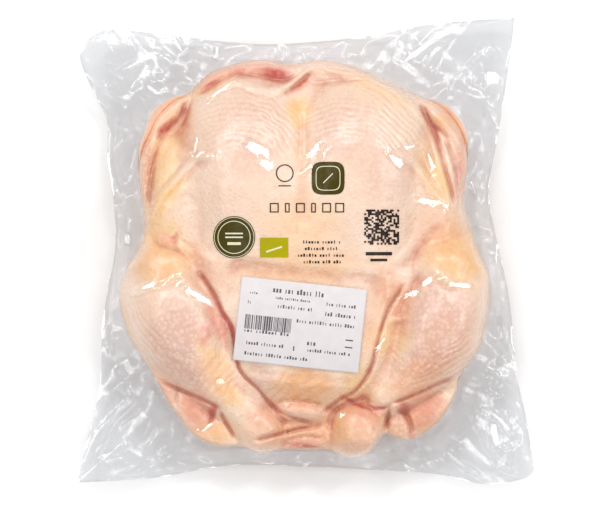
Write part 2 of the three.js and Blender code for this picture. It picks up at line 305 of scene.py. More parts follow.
def limb_height(x, y, knots, slope):
    gap, ball = nearest(x, y, curve_points(knots, 6))
    return ball[..., 2] + ball[..., 3] * dome(gap / ball[..., 3], slope)


def masses_top(x, y, slope, crispness=1.0, press=None):
    """The height of all masses joined. Crispness shrinks the hollows where a mass has a clear edge."""
    top = np.full(x.shape, NO_TOP)
    for name, lobe in LOBES.items():
        soft = lobe[4] * (crispness if name in CRISP else 1.0)
        top = soft_max(top, lobe_height(x, y, lobe, slope), soft)
        if press and name == "belly":
            top = press(x, y, top)
    for soft, knots in LIMBS.values():
        top = soft_max(top, limb_height(x, y, knots, slope), soft)
    return top


def masses_bottom(x, y):
    bottom = np.full(x.shape, NO_BOTTOM)
    for lobe in UNDER_LOBES.values():
        bottom = soft_min(bottom, lobe_height(x, y, lobe, FILM_SLOPE), lobe[4])
    return soft_max(bottom, np.zeros(x.shape), TABLE_SOFT)


print("height over the left breast, mm:",
      round(float(masses_top(np.array([-27.0]), np.array([37.0]), FILM_SLOPE)[0]), 1))

# %% [markdown]
# ## Folds, creases and wrinkles of the skin
#
# Loose skin lies in folds beside the breast and over the neck, and the legs press creases into the belly. A
# fold or a crease is a curve with a width and a height. It could be a bump in the material, but it is added
# to the height, because at this size it is true relief and casts shadow.

# %% Folds and creases
# Lines over the plan, then half width and height: above 0 is a fold, below 0 a crease
LINE_REACH = 3.2
LINE_END_HEIGHT = 0.25
SKIN_LINES = {
    "leg_left_inner": ([(-51, -10), (-44, -20), (-40, -29), (-35.5, -36.5), (-33.5, -46), (-31.5, -57),
                        (-23, -65.5), (-13.5, -76), (2, -82)], 0.95, -2.3),
    "leg_right_inner": ([(46, -16.5), (40, -26), (36.5, -34), (33.5, -45), (30.5, -56), (23.5, -66.5),
                         (17, -70), (8.5, -76.5)], 0.95, -2.3),
    "drum_left_under": ([(-73.5, -60.5), (-65.5, -64), (-57, -67.5), (-48.5, -71), (-42, -74.5)], 1.0, -2.6),
    "drum_right_under": ([(41, -72.5), (50, -69), (62, -63.5), (74, -58.5)], 1.0, -2.6),
    "hock_cut": ([(17, -69.5), (27, -74), (35.5, -75), (39.5, -73.5)], 0.9, -1.4),
    "hock_right_side": ([(39.5, -73.5), (39, -80), (36.5, -87.5), (30.5, -95)], 1.1, -2.8),
    "wing_tip_side": ([(41.5, -76), (47, -77.5), (50, -83.5), (50.5, -90)], 1.1, -2.2),
    "vent_fold_upper": ([(-23, -89.5), (-15, -87.5), (-3, -85), (9.5, -83)], 1.2, -1.6),
    "vent_fold_lower": ([(-10.5, -91), (-1, -88.5), (8.5, -89.5)], 1.0, -1.4),
    "hock_left_dimple": ([(-25, -90.5), (-21, -89.5), (-12, -87), (-4, -85), (2, -83.5)], 0.9, -1.9),
    "hock_left_low": ([(-17.5, -95), (-8, -92.5), (5.5, -94.5)], 1.2, -2.0),
    "flap_left": ([(-61.5, -64), (-62, -69.5), (-63, -75)], 1.0, -1.5),
    "flap_meat": ([(-43, -74), (-45, -79.5), (-47.5, -85)], 1.0, -1.5),
    "flap_hock": ([(-42, -74.5), (-38.5, -81.5), (-33.5, -91)], 1.2, -2.2),
    "wing_left_side": ([(-57, 73.5), (-60.5, 64), (-68, 55), (-72.5, 44), (-74.5, 29.5), (-76, 19)],
                       1.5, -2.4),
    "wing_right_side": ([(52.5, 73), (56.5, 65.5), (61, 58), (64.5, 44), (68.5, 31), (71, 21)], 1.5, -2.2),
    "wing_right_lump": ([(58.5, 68.5), (62, 66), (66.5, 60), (67.5, 56)], 2.2, 1.5),
    "wing_right_dip": ([(59.5, 61.5), (63.5, 57.5), (69, 52.5)], 1.1, -1.5),
    "wing_left_lump": ([(-74, 60), (-70, 65), (-66, 69)], 2.4, 1.0),
    "neck_valley": ([(-9, 75.5), (-3, 81), (3.5, 87)], 1.2, -2.2),
    "keel": ([(-3, 70.5), (-2.5, 58), (-2.5, 40)], 3.0, -0.9),
    "pocket_left": ([(-76, 7.5), (-69, 2.5), (-61.5, 0.5), (-56, -3)], 1.7, -1.8),
    "pocket_left_side": ([(-60, 11), (-63, 5.5), (-61.5, 0.5)], 1.3, -1.2),
    "thigh_right_fold": ([(41.5, -10), (49, -5), (54.5, 2.5), (60.5, 10), (70, 16)], 2.6, -1.4),
    "fold_left": ([(-43, 45.5), (-51, 44.5), (-56, 41), (-64, 32), (-73, 20), (-77, 9)], 1.5, 1.6),
    "neck_ridge": ([(-17.5, 76), (-9.5, 78.5), (-3, 83), (6, 89.5)], 1.7, 2.6),
    "fold_right": ([(39, 47.5), (47, 44.5), (53.5, 39), (59.5, 29.5), (65.5, 23)], 1.8, 1.4),
    "pleat_inner": ([(60, 55), (63, 44), (66, 32), (68.5, 22)], 1.1, 1.2),
    "pleat_middle": ([(63, 57), (67.5, 45), (70, 33), (71.5, 22.5)], 1.1, 1.3),
    "pleat_outer": ([(67, 56), (71.5, 45), (73.5, 33), (74, 24.5)], 1.0, 1.1),
    "knee_left": ([(-77, -17.5), (-69, -16.5), (-62, -12.5), (-56, -15.5), (-49.5, -21), (-45, -25)],
                  1.4, 0.9),
    "knee_right": ([(51.5, -20.5), (56.5, -16), (61.5, -11), (67.5, -15), (77.5, -17)], 1.4, 0.9),
    "cross_fold": ([(37, -34.5), (45, -32), (54.5, -31)], 1.4, 0.9),
    "breast_edge_left": ([(-57, 73), (-47.5, 74), (-35.5, 80.5), (-24.5, 77.5), (-13.5, 76)], 1.5, 1.5),
    "breast_edge_right": ([(7.5, 87), (18.5, 84), (29, 83), (41.5, 76.5), (53, 66.5), (58.5, 58)], 1.5, 1.4),
    "neck_top": ([(-40.5, 85), (-30.5, 89), (-20, 91), (-9, 89)], 1.4, 1.2),
}


def line_relief(x, y, lines):
    """The summed height of folds and creases. Only points near a line are worked out."""
    relief = np.zeros(x.shape)
    for knots, half_width, height in lines:
        line = curve_points(knots, 5)
        reach = LINE_REACH * half_width
        low, high = line.min(axis=0) - reach, line.max(axis=0) + reach
        near = (x > low[0]) & (x < high[0]) & (y > low[1]) & (y < high[1])
        gap, _ = nearest(x[near], y[near], line)
        ends = np.minimum(np.hypot(x[near] - line[0, 0], y[near] - line[0, 1]),
                          np.hypot(x[near] - line[-1, 0], y[near] - line[-1, 1]))
        fade = LINE_END_HEIGHT + (1 - LINE_END_HEIGHT) * smooth_step(ends / (4 * half_width))
        relief[near] += height * fade * np.exp(-((gap / half_width) ** 2))
    return relief


print("folds and creases:", len(SKIN_LINES))

# %% [markdown]
# ## Wrinkled skin
#
# Skin that is drawn tight over the breast and the thighs wrinkles in fine rows. A wrinkled patch is a set of
# waves round a far centre, so its rows bend as real ones do, and noise shifts and thins them. A noise texture
# alone has no rows, and rows drawn one by one would look ruled.

# %% Wrinkled patches
# Middle, half width and length, turn, centre of the waves, gap between rows, height
WRINKLES = {
    "breast_left_arcs": ((-30, 60), (22, 15), 0, (-32, 30), 2.3, 0.17),
    "breast_left_right_side": ((-14, 58), (10, 14), 0, (-60, 20), 2.4, 0.16),
    "breast_right_arcs": ((18, 62), (18, 12), 0, (20, 20), 2.3, 0.14),
    "breast_right_side": ((43, 60), (12, 14), 0, (-110, -97), 2.4, 0.24),
    "drumstick_right_outer": ((66, -54), (22, 10), 32, (-9, 73), 2.4, 0.34),
    "drumstick_left_outer": ((-77, -42), (8, 18), 25, (30, 40), 2.4, 0.18),
    "neck_skin": ((20, 85), (15, 5), -8, (20, 165), 2.3, 0.26),
    "shoulder_skin_right": ((40, 74), (14, 8), -30, (-10, 10), 2.6, 0.20),
    "belly_low": ((-8, -66), (18, 9), 0, (60, -150), 4.2, 0.22),
    "right_flap": ((60, -73), (10, 9), 0, (10, -140), 3.0, 0.22),
    "left_shaft": ((-44, -60), (12, 10), 0, (-140, 30), 3.2, 0.18),
}


def wrinkle_relief(x, y):
    relief = np.zeros(x.shape)
    for k, (at, half, turn, centre, gap, height) in enumerate(WRINKLES.values()):
        across, along = turned_back(x, y, at, turn)
        mask = smooth_step(1.6 - 1.2 * np.hypot(across / half[0], along / half[1]))
        rows = np.hypot(x - centre[0], y - centre[1]) / gap + 0.55 * lumps(x, y, 7, 40 + k)
        relief += mask * height * (np.abs(np.cos(np.pi * rows)) - 0.6) * (1 + 0.5 * lumps(x, y, 5, 60 + k))
    return relief


print("wrinkled patches:", len(WRINKLES))


# %% [markdown]
# ## Where the label presses
#
# The label lies on the low side of the breast, over the belly. Stiff paper holds the film and the skin under
# it to one smooth barrel, so the barrel is worked out first and the bird, the film and the label all take it.
# Laying the paper on a finished bird would let every bump of the skin print through.

# %% Place of the label
LABEL_AT = (-3.0, -35.0)
LABEL_TURN = -6.1
LABEL_WIDTH, LABEL_LENGTH = 60.0, 40.0
LABEL_TOP = 45.4
LABEL_SLOPE = 0.1
LABEL_BEND_ACROSS, LABEL_BEND_ALONG = 180, 150
LABEL_BORDER = 7.0


def label_height(x, y):
    across, along = turned_back(x, y, LABEL_AT, LABEL_TURN)
    return LABEL_TOP + LABEL_SLOPE * along - across**2 / LABEL_BEND_ACROSS - along**2 / LABEL_BEND_ALONG


def label_hold(x, y, border):
    across, along = turned_back(x, y, LABEL_AT, LABEL_TURN)
    past = np.hypot(np.maximum(np.abs(across) - LABEL_WIDTH / 2, 0),
                    np.maximum(np.abs(along) - LABEL_LENGTH / 2, 0))
    return 1 - smooth_step(past / border)


print("label, mm:", LABEL_WIDTH, "by", LABEL_LENGTH, "at", LABEL_AT, "turned", LABEL_TURN)


# %% [markdown]
# ## The bird's mesh
#
# Seen from above the carcass has one closed outline. Rings round a middle would crowd their faces there, so a
# square grid is squeezed into the outline: it gives even cells all over. One such grid is the top and a
# coarser one is the back, and they share the outline, so the bird is one closed mesh.

# %% Outline of the bird
OUTLINE = [
    (-19, 92), (-8, 89.5), (6, 91.5), (19, 89.5), (33, 84), (51, 75.5), (66.5, 69.5), (76, 58.5), (77.5, 44),
    (75.5, 24), (78.5, 11), (83, -1.5), (87.3, -11.5), (87.3, -24), (85.5, -36), (82, -48), (74, -59),
    (72, -67), (68.5, -74.5), (63, -82), (55, -88), (48, -90.5), (41.5, -88.5), (37, -88), (30, -96.5),
    (20, -98.5), (10, -95), (-3, -95), (-13, -95), (-22, -96.5), (-31, -93.5), (-41, -93.5), (-50, -90.5),
    (-57, -85), (-62, -78), (-67.5, -70.5), (-71, -63), (-78.5, -51), (-84.5, -41), (-88.5, -28), (-89, -17),
    (-85.5, -7), (-80.5, 1), (-77.5, 10), (-78.5, 23), (-80.5, 36), (-80, 49), (-77, 58), (-73.5, 66),
    (-65, 73), (-56.5, 75.5), (-51, 81.5), (-44, 86.5), (-31, 90.5),
]
OUTLINE_STEPS = 6


def outline_radius(angle):
    closed = curve_points(OUTLINE + OUTLINE[:1], OUTLINE_STEPS)
    turn = np.unwrap(np.arctan2(closed[:, 1], closed[:, 0]))
    order = np.argsort(turn)
    return np.interp(angle, turn[order], np.hypot(closed[:, 0], closed[:, 1])[order], period=2 * math.pi)


def squeezed_grid(cells):
    """A square grid of places inside the outline, and each one's share of the way out to it."""
    side = np.linspace(-1, 1, cells + 1)
    u, v = np.meshgrid(side, side, indexing="ij")
    disc_x, disc_y = u * np.sqrt(1 - v * v / 2), v * np.sqrt(1 - u * u / 2)
    share = np.hypot(disc_x, disc_y)
    angle = np.arctan2(disc_y, disc_x)
    radius = outline_radius(angle)
    return radius * disc_x, radius * disc_y, radius * (1 - share)


print("outline: width and length, mm:", np.ptp(np.array(OUTLINE), axis=0))

# %% The bird's sides, top and back
BIRD_SLOPE = 2.6
CRISPNESS = 0.35
EDGE_WIDTH, EDGE_HEIGHT, EDGE_SOFT = 22.0, 35.0, 3.0
WING_EDGE_HEIGHT = 27.0
LIP, LIP_FALL, LIP_SOFT = 9, 3.5, 6
BACK_EDGE_WIDTH = 14
RELIEF_FADE = 4
PRESS_WIDTH, PRESS_FREE, PRESS_SOFT = 22, 45, 4.0
SKIN_BELOW_LABEL = 0.7
BACK_ABOVE_FILM, LOWEST_SKIN = 0.5, 0.4
# Unevenness of the skin: height, size and seed
SKIN_LUMPS = ((0.45, 11, 1), (0.22, 5, 2), (0.08, 2.2, 3))


def edge_round(inward, width, height):
    """How high the rounded side of the carcass stands at a distance in from its outline."""
    t = np.clip(inward / width, 0, 1)
    return height * np.sqrt(1 - (1 - t) ** 2) + np.maximum(inward - width, 0) * 3


def pressed_belly(x, y, top):
    """The breast and the belly, flattened smoothly towards the label's barrel for a width round it."""
    hold = label_hold(x, y, PRESS_WIDTH)
    barrel = label_height(x, y) - SKIN_BELOW_LABEL + PRESS_FREE * (1 - hold) ** 2
    return np.where(hold > 0, soft_min(top, barrel, PRESS_SOFT), top)


def bird_top(x, y, inward):
    """The skin's height: masses, rounded sides that are lower along the wings, relief, the label's press."""
    body = masses_top(x, y, BIRD_SLOPE, CRISPNESS, pressed_belly)
    on_wing = smooth_step((y - 42) / 14) * smooth_step((np.abs(x) - 50) / 12)
    side_height = EDGE_HEIGHT + on_wing * (WING_EDGE_HEIGHT - EDGE_HEIGHT)
    body = soft_min(body, SEAM + edge_round(inward, EDGE_WIDTH, side_height), EDGE_SOFT)
    lip = SEAM + edge_round(inward, LIP, LIP) - np.maximum(inward - LIP, 0) * LIP_FALL
    body = soft_max(body, lip, LIP_SOFT)
    detail = line_relief(x, y, SKIN_LINES.values()) + wrinkle_relief(x, y)
    detail += sum(height * lumps(x, y, size, seed) for height, size, seed in SKIN_LUMPS)
    top = body + detail * smooth_step(inward / RELIEF_FADE)
    hold = label_hold(x, y, LABEL_BORDER)
    under_label = label_height(x, y) - SKIN_BELOW_LABEL + 10 * (1 - hold)
    return np.where(hold > 0, soft_min(top, under_label, 1.0), top)


def bird_bottom(x, y, inward):
    low = SEAM - edge_round(inward, BACK_EDGE_WIDTH, SEAM)
    return np.maximum(soft_max(masses_bottom(x, y) + BACK_ABOVE_FILM, low, 3), LOWEST_SKIN)


# %% [markdown]
# ## Faces between two grids
#
# A mesh is a list of points and a list of faces that name them. The front grid takes two triangles for each
# cell, split along the more level diagonal, so that creases stay clean. The back has half as many cells each
# way. Where they meet, a fan of triangles in each outer cell of the back takes in every point of the front's
# edge. Two equal grids would need no fans, but the back isn't seen enough to be worth the faces.

# %% Faces of the front
def grid_faces(cells, heights):
    """Two triangles for each cell, split along the diagonal that is more level."""
    index = np.arange((cells + 1) ** 2).reshape(cells + 1, cells + 1)
    a, b = index[:-1, :-1], index[1:, :-1]
    c, d = index[1:, 1:], index[:-1, 1:]
    z = heights.reshape(-1)
    first = np.abs(z[a] - z[c]) < np.abs(z[b] - z[d])
    one = np.where(first[..., None], np.stack([a, b, c], -1), np.stack([b, c, d], -1))
    two = np.where(first[..., None], np.stack([a, c, d], -1), np.stack([b, d, a], -1))
    return np.concatenate([one.reshape(-1, 3), two.reshape(-1, 3)])


print("faces of a grid of 2 by 2 cells:", len(grid_faces(2, np.zeros((3, 3)))))


# %% Faces of the back
def back_faces(cells, front_cells):
    """Faces of the coarser back, fans at its rim so that they meet every point of the front's rim."""
    step = front_cells // cells
    wide = front_cells + 1
    number = {}

    def corner(i, j):
        key = (i, j)
        if i in (0, front_cells) or j in (0, front_cells):
            return i * wide + j
        if key not in number:
            number[key] = wide * wide + len(number)
        return number[key]

    faces = []
    for i in range(0, front_cells, step):
        for j in range(0, front_cells, step):
            loop = []
            sides = [(i, j, 1, 0), (i + step, j, 0, 1), (i + step, j + step, -1, 0), (i, j + step, 0, -1)]
            for si, sj, di, dj in sides:
                on_rim = (dj == 0 and sj in (0, front_cells)) or (di == 0 and si in (0, front_cells))
                count = step if on_rim else 1
                loop += [(si + k * di, sj + k * dj) for k in range(count)]
            apex = (i + step if i == 0 else i, j + step if j == 0 else j)
            start = loop.index(apex)
            turned = [corner(*place) for place in loop[start:] + loop[:start]]
            faces += [(turned[0], turned[k + 1], turned[k]) for k in range(1, len(turned) - 1)]
    return faces, list(number)


print("faces of a back of 2 by 2 cells under a front of 4 by 4:", len(back_faces(2, 4)[0]))


# %% Mesh object
def make_mesh(name, points, faces, masks=None):
    """A smooth mesh object from millimetre points, with each mask kept as a number on its points."""
    mesh = bpy.data.meshes.new(name)
    mesh.vertices.add(len(points))
    mesh.vertices.foreach_set("co", (np.asarray(points) * MM).astype(np.float32).reshape(-1))
    faces = np.asarray(faces, dtype=np.int32)
    mesh.loops.add(faces.size)
    mesh.loops.foreach_set("vertex_index", faces.reshape(-1))
    mesh.polygons.add(len(faces))
    mesh.polygons.foreach_set("loop_start", np.arange(0, faces.size, 3, dtype=np.int32))
    mesh.polygons.foreach_set("use_smooth", np.ones(len(faces), dtype=bool))
    mesh.update(calc_edges=True)
    mesh.validate()
    for mask, values in (masks or {}).items():
        layer = mesh.attributes.new(mask, "FLOAT", "POINT")
        layer.data.foreach_set("value", np.asarray(values, dtype=np.float32).reshape(-1))
    piece = bpy.data.objects.new(name, mesh)
    bpy.context.scene.collection.objects.link(piece)
    print(name, "points", len(points), "triangles", len(faces))
    return piece


# %% [markdown]
# ## Where the skin is yellow, pink or red
#
# Raw skin is a pale peach. Fat shines through it in yellow, thin skin over dark leg meat looks mauve, and cut
# or bare meat is pink to red. A picture laid on the bird would carry one chicken's marks and one light with
# it. Here each colour is a mask that is worked out from soft-edged patches on the carcass and kept on the
# mesh. The material mixes its colours by them and breaks their edges up with noise.

# %% Colour masks
# Each patch: middle, half width, half length, turn in degrees, strength
PATCHES = {
    "fat": [
        (-68, 44, 8, 23, -14, 0.75), (-48.5, 78.5, 11.5, 4, 25, 0.7), (-70, 8, 10.5, 6.5, 20, 0.8),
        (-70.5, 20, 4.5, 11, -38, 0.8), (-3.5, 67, 6, 6, 0, 0.9), (-2, 48.5, 3.5, 15.5, 0, 0.3),
        (-2, 12.5, 17.5, 12.5, 0, 0.4), (-3, -8, 24, 8.5, 0, 0.4), (33, 78.5, 19, 4.5, -28, 0.4),
        (60.5, 36.5, 6, 14.5, 20, 0.7), (71.5, -2, 14.5, 12.5, -20, 0.95), (-66.5, -5, 14.5, 9.5, 15, 0.75),
        (-85.5, -41.5, 3.5, 16.5, 12, 0.6), (-43.5, -54.5, 5.5, 15.5, 28, 0.7),
        (-37.5, -67.5, 8.5, 5, -30, 0.7), (39, -41.5, 9.5, 8.5, 0, 0.7), (28, -64, 8.5, 6.5, -50, 0.5),
        (-1, -65, 13, 9, 0, 0.9), (16.5, -79, 5, 5, 0, 0.6), (44, -84.5, 5, 7, 20, 0.35),
        (23.5, -59.5, 6, 10.5, -20, 0.6), (15, -86, 6, 6.5, 0, 0.7), (-45, -87.5, 10.5, 5.5, 12, 0.85),
        (-3, -85, 12.5, 4, 0, 0.5), (-63.5, 28.2, 2.2, 10, -43, 1.0), (65, 34, 2.5, 9, 25, 0.8),
        (-3, 62, 3, 4, 0, 0.7), (64.5, 62, 4, 3.5, -40, 0.7),
    ],
    "warm": [
        (-2, -8, 26, 9, 0, 0.35), (41, -22, 7, 15, 20, 0.9), (-1, -65, 14, 9, 0, 0.9),
        (-19.5, -84.5, 13, 10, 10, 0.6), (25.5, -85, 14, 13, 0, 0.7), (-1, -88, 17, 9, 0, 1.0),
        (-53, -76, 9, 9, 30, 0.5), (27, -77, 9, 6, -15, 0.5), (55, -81, 6, 9, 20, 1.0),
        (42.5, -84, 6, 7, 20, 0.35), (15, -85, 5, 3, 0, 0.5), (-42, -60, 9, 12, 30, 0.5),
        (52, -61, 15, 9, 30, 0.9), (58, -76, 12, 10, -25, 0.75), (-46, -12, 9, 9, 0, 0.45),
        (-46, -87, 12, 6, 10, 0.6), (-68, -4, 14, 9, 10, 0.5), (70, 2, 13, 12, -10, 0.5),
        (62, 14, 10, 8, 30, 0.45), (70, 62, 9, 12, 20, 0.1), (-44, 84, 10, 6, 20, 0.4),
        (68, -45, 14, 16, -20, 0.3), (28, -40, 8, 16, -20, 0.5), (-70, -62, 8, 8, 30, 0.5),
    ],
    "meat": [
        (-26, 87, 21, 4, 8, 0.85), (-47, 80.5, 6.5, 5, 35, 0.8), (-65.5, 67, 7, 11, -40, 0.25),
        (18.5, 86, 14.5, 3.5, -8, 0.2), (-3, 79.5, 5, 2.5, 42, 0.8), (64, 60.5, 8, 10.5, 32, 0.25),
        (-42, -34, 4, 11.5, 24, 0.9), (-48, -39.5, 3, 5, 0, 0.8), (-53, -75, 7, 8.5, 30, 0.9),
        (-66.5, -68, 3.5, 6.5, 20, 0.7), (56.5, -76, 8.5, 9.5, -30, 0.75), (27, -76, 9.5, 3.5, -15, 0.6),
        (-3, -92, 11.5, 3, 0, 0.7), (-21, -80, 6.5, 4, 0, 0.3), (-3, -75, 9, 2.5, -6, 0.45),
        (27, -80, 8, 5, -10, 0.35), (59.5, 9, 8.5, 3, 35, 0.3), (75, 38, 4, 15, -4, 0.6),
        (-76.5, 36, 4, 18, 5, 0.3), (-66.5, 5.5, 5, 2.5, -30, 0.6),
    ],
    "blood": [
        (-14.5, 84, 7, 3, -8, 1.0), (-66.5, 59.5, 5.5, 2, 38, 0.9), (-44.5, 80, 3.5, 1, 25, 0.7),
        (-2, 80.5, 3.5, 1, 42, 0.7), (-37, -35.5, 2, 6.5, 28, 0.5), (-45, -76.5, 2, 4.5, -25, 0.9),
        (47, -75, 3, 3, 0, 0.7), (50.5, -87.5, 1.5, 2.5, 0, 0.5), (62.5, 58.5, 2.4, 1.2, -45, 0.55),
        (-70.5, 55, 1.6, 1, 40, 0.6), (-58.5, 66.5, 2.4, 1.2, 55, 0.5),
    ],
    "mauve": [
        (-61.5, -39, 13.5, 16.5, 0, 0.7), (-56, -58, 10.5, 6.5, -25, 0.6), (64, -32, 14.5, 16.5, -20, 0.65),
        (57, -53, 13.5, 7.5, 30, 0.8), (-48.5, -9, 4, 6, 20, 0.5), (-28, 56, 15.5, 19, -10, 0.4),
        (-41.5, 21, 12.5, 10.5, 0, 0.1), (21, 56, 16.5, 14.5, 10, 0.4), (38, 35, 10.5, 13.5, 0, 0.35),
        (41, -22, 5, 12, 20, 0.4), (-21, -61, 6, 8, 20, 0.5), (20, -94, 9, 4, 0, 0.4),
        (-75.5, 36, 3.5, 20, 4, 0.9), (-1, -88, 16, 7, 0, 0.4), (44.5, -84, 5.5, 8, 20, 0.85),
        (73, 38, 3, 14.5, -4, 0.7),
    ],
    "pale": [
        (-27, -54.5, 6, 4, 0, 0.3), (-33.5, -83.5, 6.5, 8.5, -20, 0.45), (23.5, -50, 5, 14.5, 20, 0.3),
    ],
}
RED_LINES = {
    "hock_cut": (SKIN_LINES["hock_cut"][0], 0.9, 1.0),
    "leg_right_inner": ([(33.5, -50), (28, -61), (22, -67)], 1.0, 0.5),
    "leg_left_inner": ([(-48, -15), (-40, -29), (-35.5, -36.5), (-32, -52)], 1.2, 0.6),
    "under_tail": ([(-9, -92.5), (6, -93.5)], 0.8, 0.8),
}


def patch_mask(x, y, patches):
    bare = np.ones(x.shape)
    for px, py, half_width, half_length, turn, strength in patches:
        across, along = turned_back(x, y, (px, py), turn)
        out = np.hypot(across / half_width, along / half_length)
        bare *= 1 - strength * smooth_step((1.55 - out) / 1.1)
    return 1 - bare


print("patches:", {name: len(patches) for name, patches in PATCHES.items()})

# %% [markdown]
# ## Colour that follows the relief
#
# Blood gathers in creases, and shade is painted into creases and wide hollows: a darker, warmer colour that
# stands in for the shade they fall into. So two masks are measured from the relief itself: how far a place
# lies below its own blurred surroundings, narrow for creases and wide for valleys. A pointiness node does
# nearly this, but what it reads isn't kept on the mesh.

# %% Masks from the relief
# The crease mask paints blood and shade into narrow creases, the valley mask paints shade into wide hollows.
# Steps of blurring, depth, and how far in from the outline the mask starts and fades in
HOLLOWS = {"crease_blood_and_shade": (14, 0.9, 1.5, 6), "valley_shade": (110, 2.4, 3, 9)}
MAUVE_FADE = 5
# Painted light: the side mask makes the skin paler within this width of the outline, on its steep sides.
PAINTED_SIDE_LIGHT_WIDTH = 6
WRINKLE_DEPTH = 0.45


def crease_mask(height, spread, depth):
    """How far each place of a grid of heights lies below its surroundings, as a share of a depth."""
    blurred = height.copy()
    for _ in range(spread):
        padded = np.pad(blurred, 1, mode="edge")
        blurred = (padded[:-2, 1:-1] + padded[2:, 1:-1] + padded[1:-1, :-2] + padded[1:-1, 2:]) / 4
    return np.clip((blurred - height) / depth, 0, 1)


def skin_masks(x, y, inward, top):
    masks = {name: patch_mask(x, y, patches) for name, patches in PATCHES.items()}
    masks["blood"] = np.clip(masks["blood"] + line_relief(x, y, RED_LINES.values()), 0, 1)
    # Painted shade: the crease and valley masks darken the skin wherever it lies below its blurred
    # surroundings.
    for name, (spread, depth, start, fade) in HOLLOWS.items():
        masks[name] = crease_mask(top, spread, depth) * smooth_step((inward - start) / fade)
    masks["mauve"] *= smooth_step(inward / MAUVE_FADE)
    # Painted light: paler skin along the outline, on the steep sides.
    masks["side"] = smooth_step(1 - inward / PAINTED_SIDE_LIGHT_WIDTH)
    masks["wrinkle"] = np.clip(0.5 + wrinkle_relief(x, y) / WRINKLE_DEPTH, 0, 1)
    return masks


# %% Build the bird
BIRD_CELLS = 280
BACK_CELLS = 140


def make_bird():
    x, y, inward = squeezed_grid(BIRD_CELLS)
    top = bird_top(x, y, inward)
    masks = skin_masks(x, y, inward, top)
    front = np.stack([x, y, top], -1).reshape(-1, 3)
    faces = grid_faces(BIRD_CELLS, top)
    under, places = back_faces(BACK_CELLS, BIRD_CELLS)
    rows = tuple(np.array(places).T)
    back = np.stack([x[rows], y[rows], bird_bottom(x[rows], y[rows], inward[rows])], -1)
    points = np.vstack([front, back])
    values = {name: np.concatenate([mask.reshape(-1), mask[rows]]) for name, mask in masks.items()}
    return make_mesh("raw_chicken", points, np.vstack([faces, under]), values)


bird = make_bird()

# %% [markdown]
# ## The bag
#
# The bag is two flat films welded together at the rim, and its plan is a rectangle with sides that the vacuum
# has pulled in a little. Each side is a curve through a few knots, and the places between are blended from
# the four sides, as a cloth is stretched in a frame. A plain rectangle would be quicker, and look like a
# tray.

# %% Plan of the bag
HALF_WIDTH = 109.8
HALF_LENGTH = 112.0
CORNERS = {
    "low_left": (-HALF_WIDTH, -HALF_LENGTH + 1),
    "low_right": (HALF_WIDTH, -HALF_LENGTH + 4),
    "high_left": (-105.4, 101.0),
    "high_right": (100.0, HALF_LENGTH),
}
SIDES = {
    "low": [(-74, -109), (-37, -103), (0, -103.5), (37, -105.3), (62, -107), (88, -HALF_LENGTH)],
    "high": [(-95, 106), (-64, 103.3), (-23, 99.5), (0, 100.3), (30, 103.4), (61, 109)],
    "left": [(-88, -104.8), (-66, -99.4), (-30, -97.5), (0, -92), (25, -92.5), (45, -95.5), (63, -95.8),
             (74, -101), (93, -108.4)],
    "right": [(-80, 105.5), (-60, 101.3), (-25, 98), (8, 91), (28, 87.7), (55, 92), (88, 97)],
}


def through_knots(knots, at):
    """The height of a smooth curve at a place along it, with no overshoot at its ends."""
    knots = np.array(knots, float)
    last = len(knots) - 1
    before, after = np.maximum(np.arange(last + 1) - 1, 0), np.minimum(np.arange(last + 1) + 1, last)
    slope = (knots[after, 1] - knots[before, 1]) / (knots[after, 0] - knots[before, 0])
    i = 1 + np.searchsorted(knots[1:-1, 0], at)
    gap = knots[i, 0] - knots[i - 1, 0]
    t = (at - knots[i - 1, 0]) / gap
    return (knots[i - 1, 1] * (1 + 2 * t) * (1 - t) ** 2 + knots[i, 1] * t * t * (3 - 2 * t)
            + slope[i - 1] * gap * t * (1 - t) ** 2 + slope[i] * gap * t * t * (t - 1))


def side_places(side, start, end, upright, share):
    """Places along one side of the bag, between two corners."""
    def flip(place):
        return (place[1], place[0]) if upright else place
    knots = [flip(start)] + SIDES[side] + [flip(end)]
    along = knots[0][0] + share * (knots[-1][0] - knots[0][0])
    return flip((along, through_knots(knots, along)))


def bag_plan(cells):
    """Places all over the bag from shares of its width and length: its four sides, blended."""
    share = np.linspace(0, 1, cells + 1)
    u, v = np.meshgrid(share, share, indexing="ij")
    low_left, low_right = CORNERS["low_left"], CORNERS["low_right"]
    high_left, high_right = CORNERS["high_left"], CORNERS["high_right"]
    low = side_places("low", low_left, low_right, False, u)
    high = side_places("high", high_left, high_right, False, u)
    left = side_places("left", low_left, high_left, True, v)
    right = side_places("right", low_right, high_right, True, v)
    place = [(1 - v) * low[k] + v * high[k] + (1 - u) * left[k] + u * right[k]
             - (1 - v) * ((1 - u) * low_left[k] + u * low_right[k])
             - v * ((1 - u) * high_left[k] + u * high_right[k]) for k in (0, 1)]
    from_rim = np.minimum(np.minimum(u, 1 - u), np.minimum(v, 1 - v))
    return place[0], place[1], from_rim


print("bag, mm:", 2 * HALF_WIDTH, "by", 2 * HALF_LENGTH)

# %% [markdown]
# ## Crumpled margins
#
# Outside the bird the two films lie together and crumple: each sharp crease runs straight and the film
# between creases is nearly flat. A cloth simulation could find such folds, but takes minutes and never twice
# the same. Folded waves in many directions give just that look, so the margin is their sum, over slow folds
# round the bird and corners that curl up.

# %% Middle of the margins
RIM_DROOP = 8.0
RIM_SHARE = 0.17
RIM_PINCH = 0.045
FOLD_HEIGHT = 1.5
FOLDS_ROUND = (11, 17, 29)
CORNER_REACH = 62.0
CORNER_LIFT = {"low_left": 3, "low_right": 6, "high_left": 11, "high_right": 7}


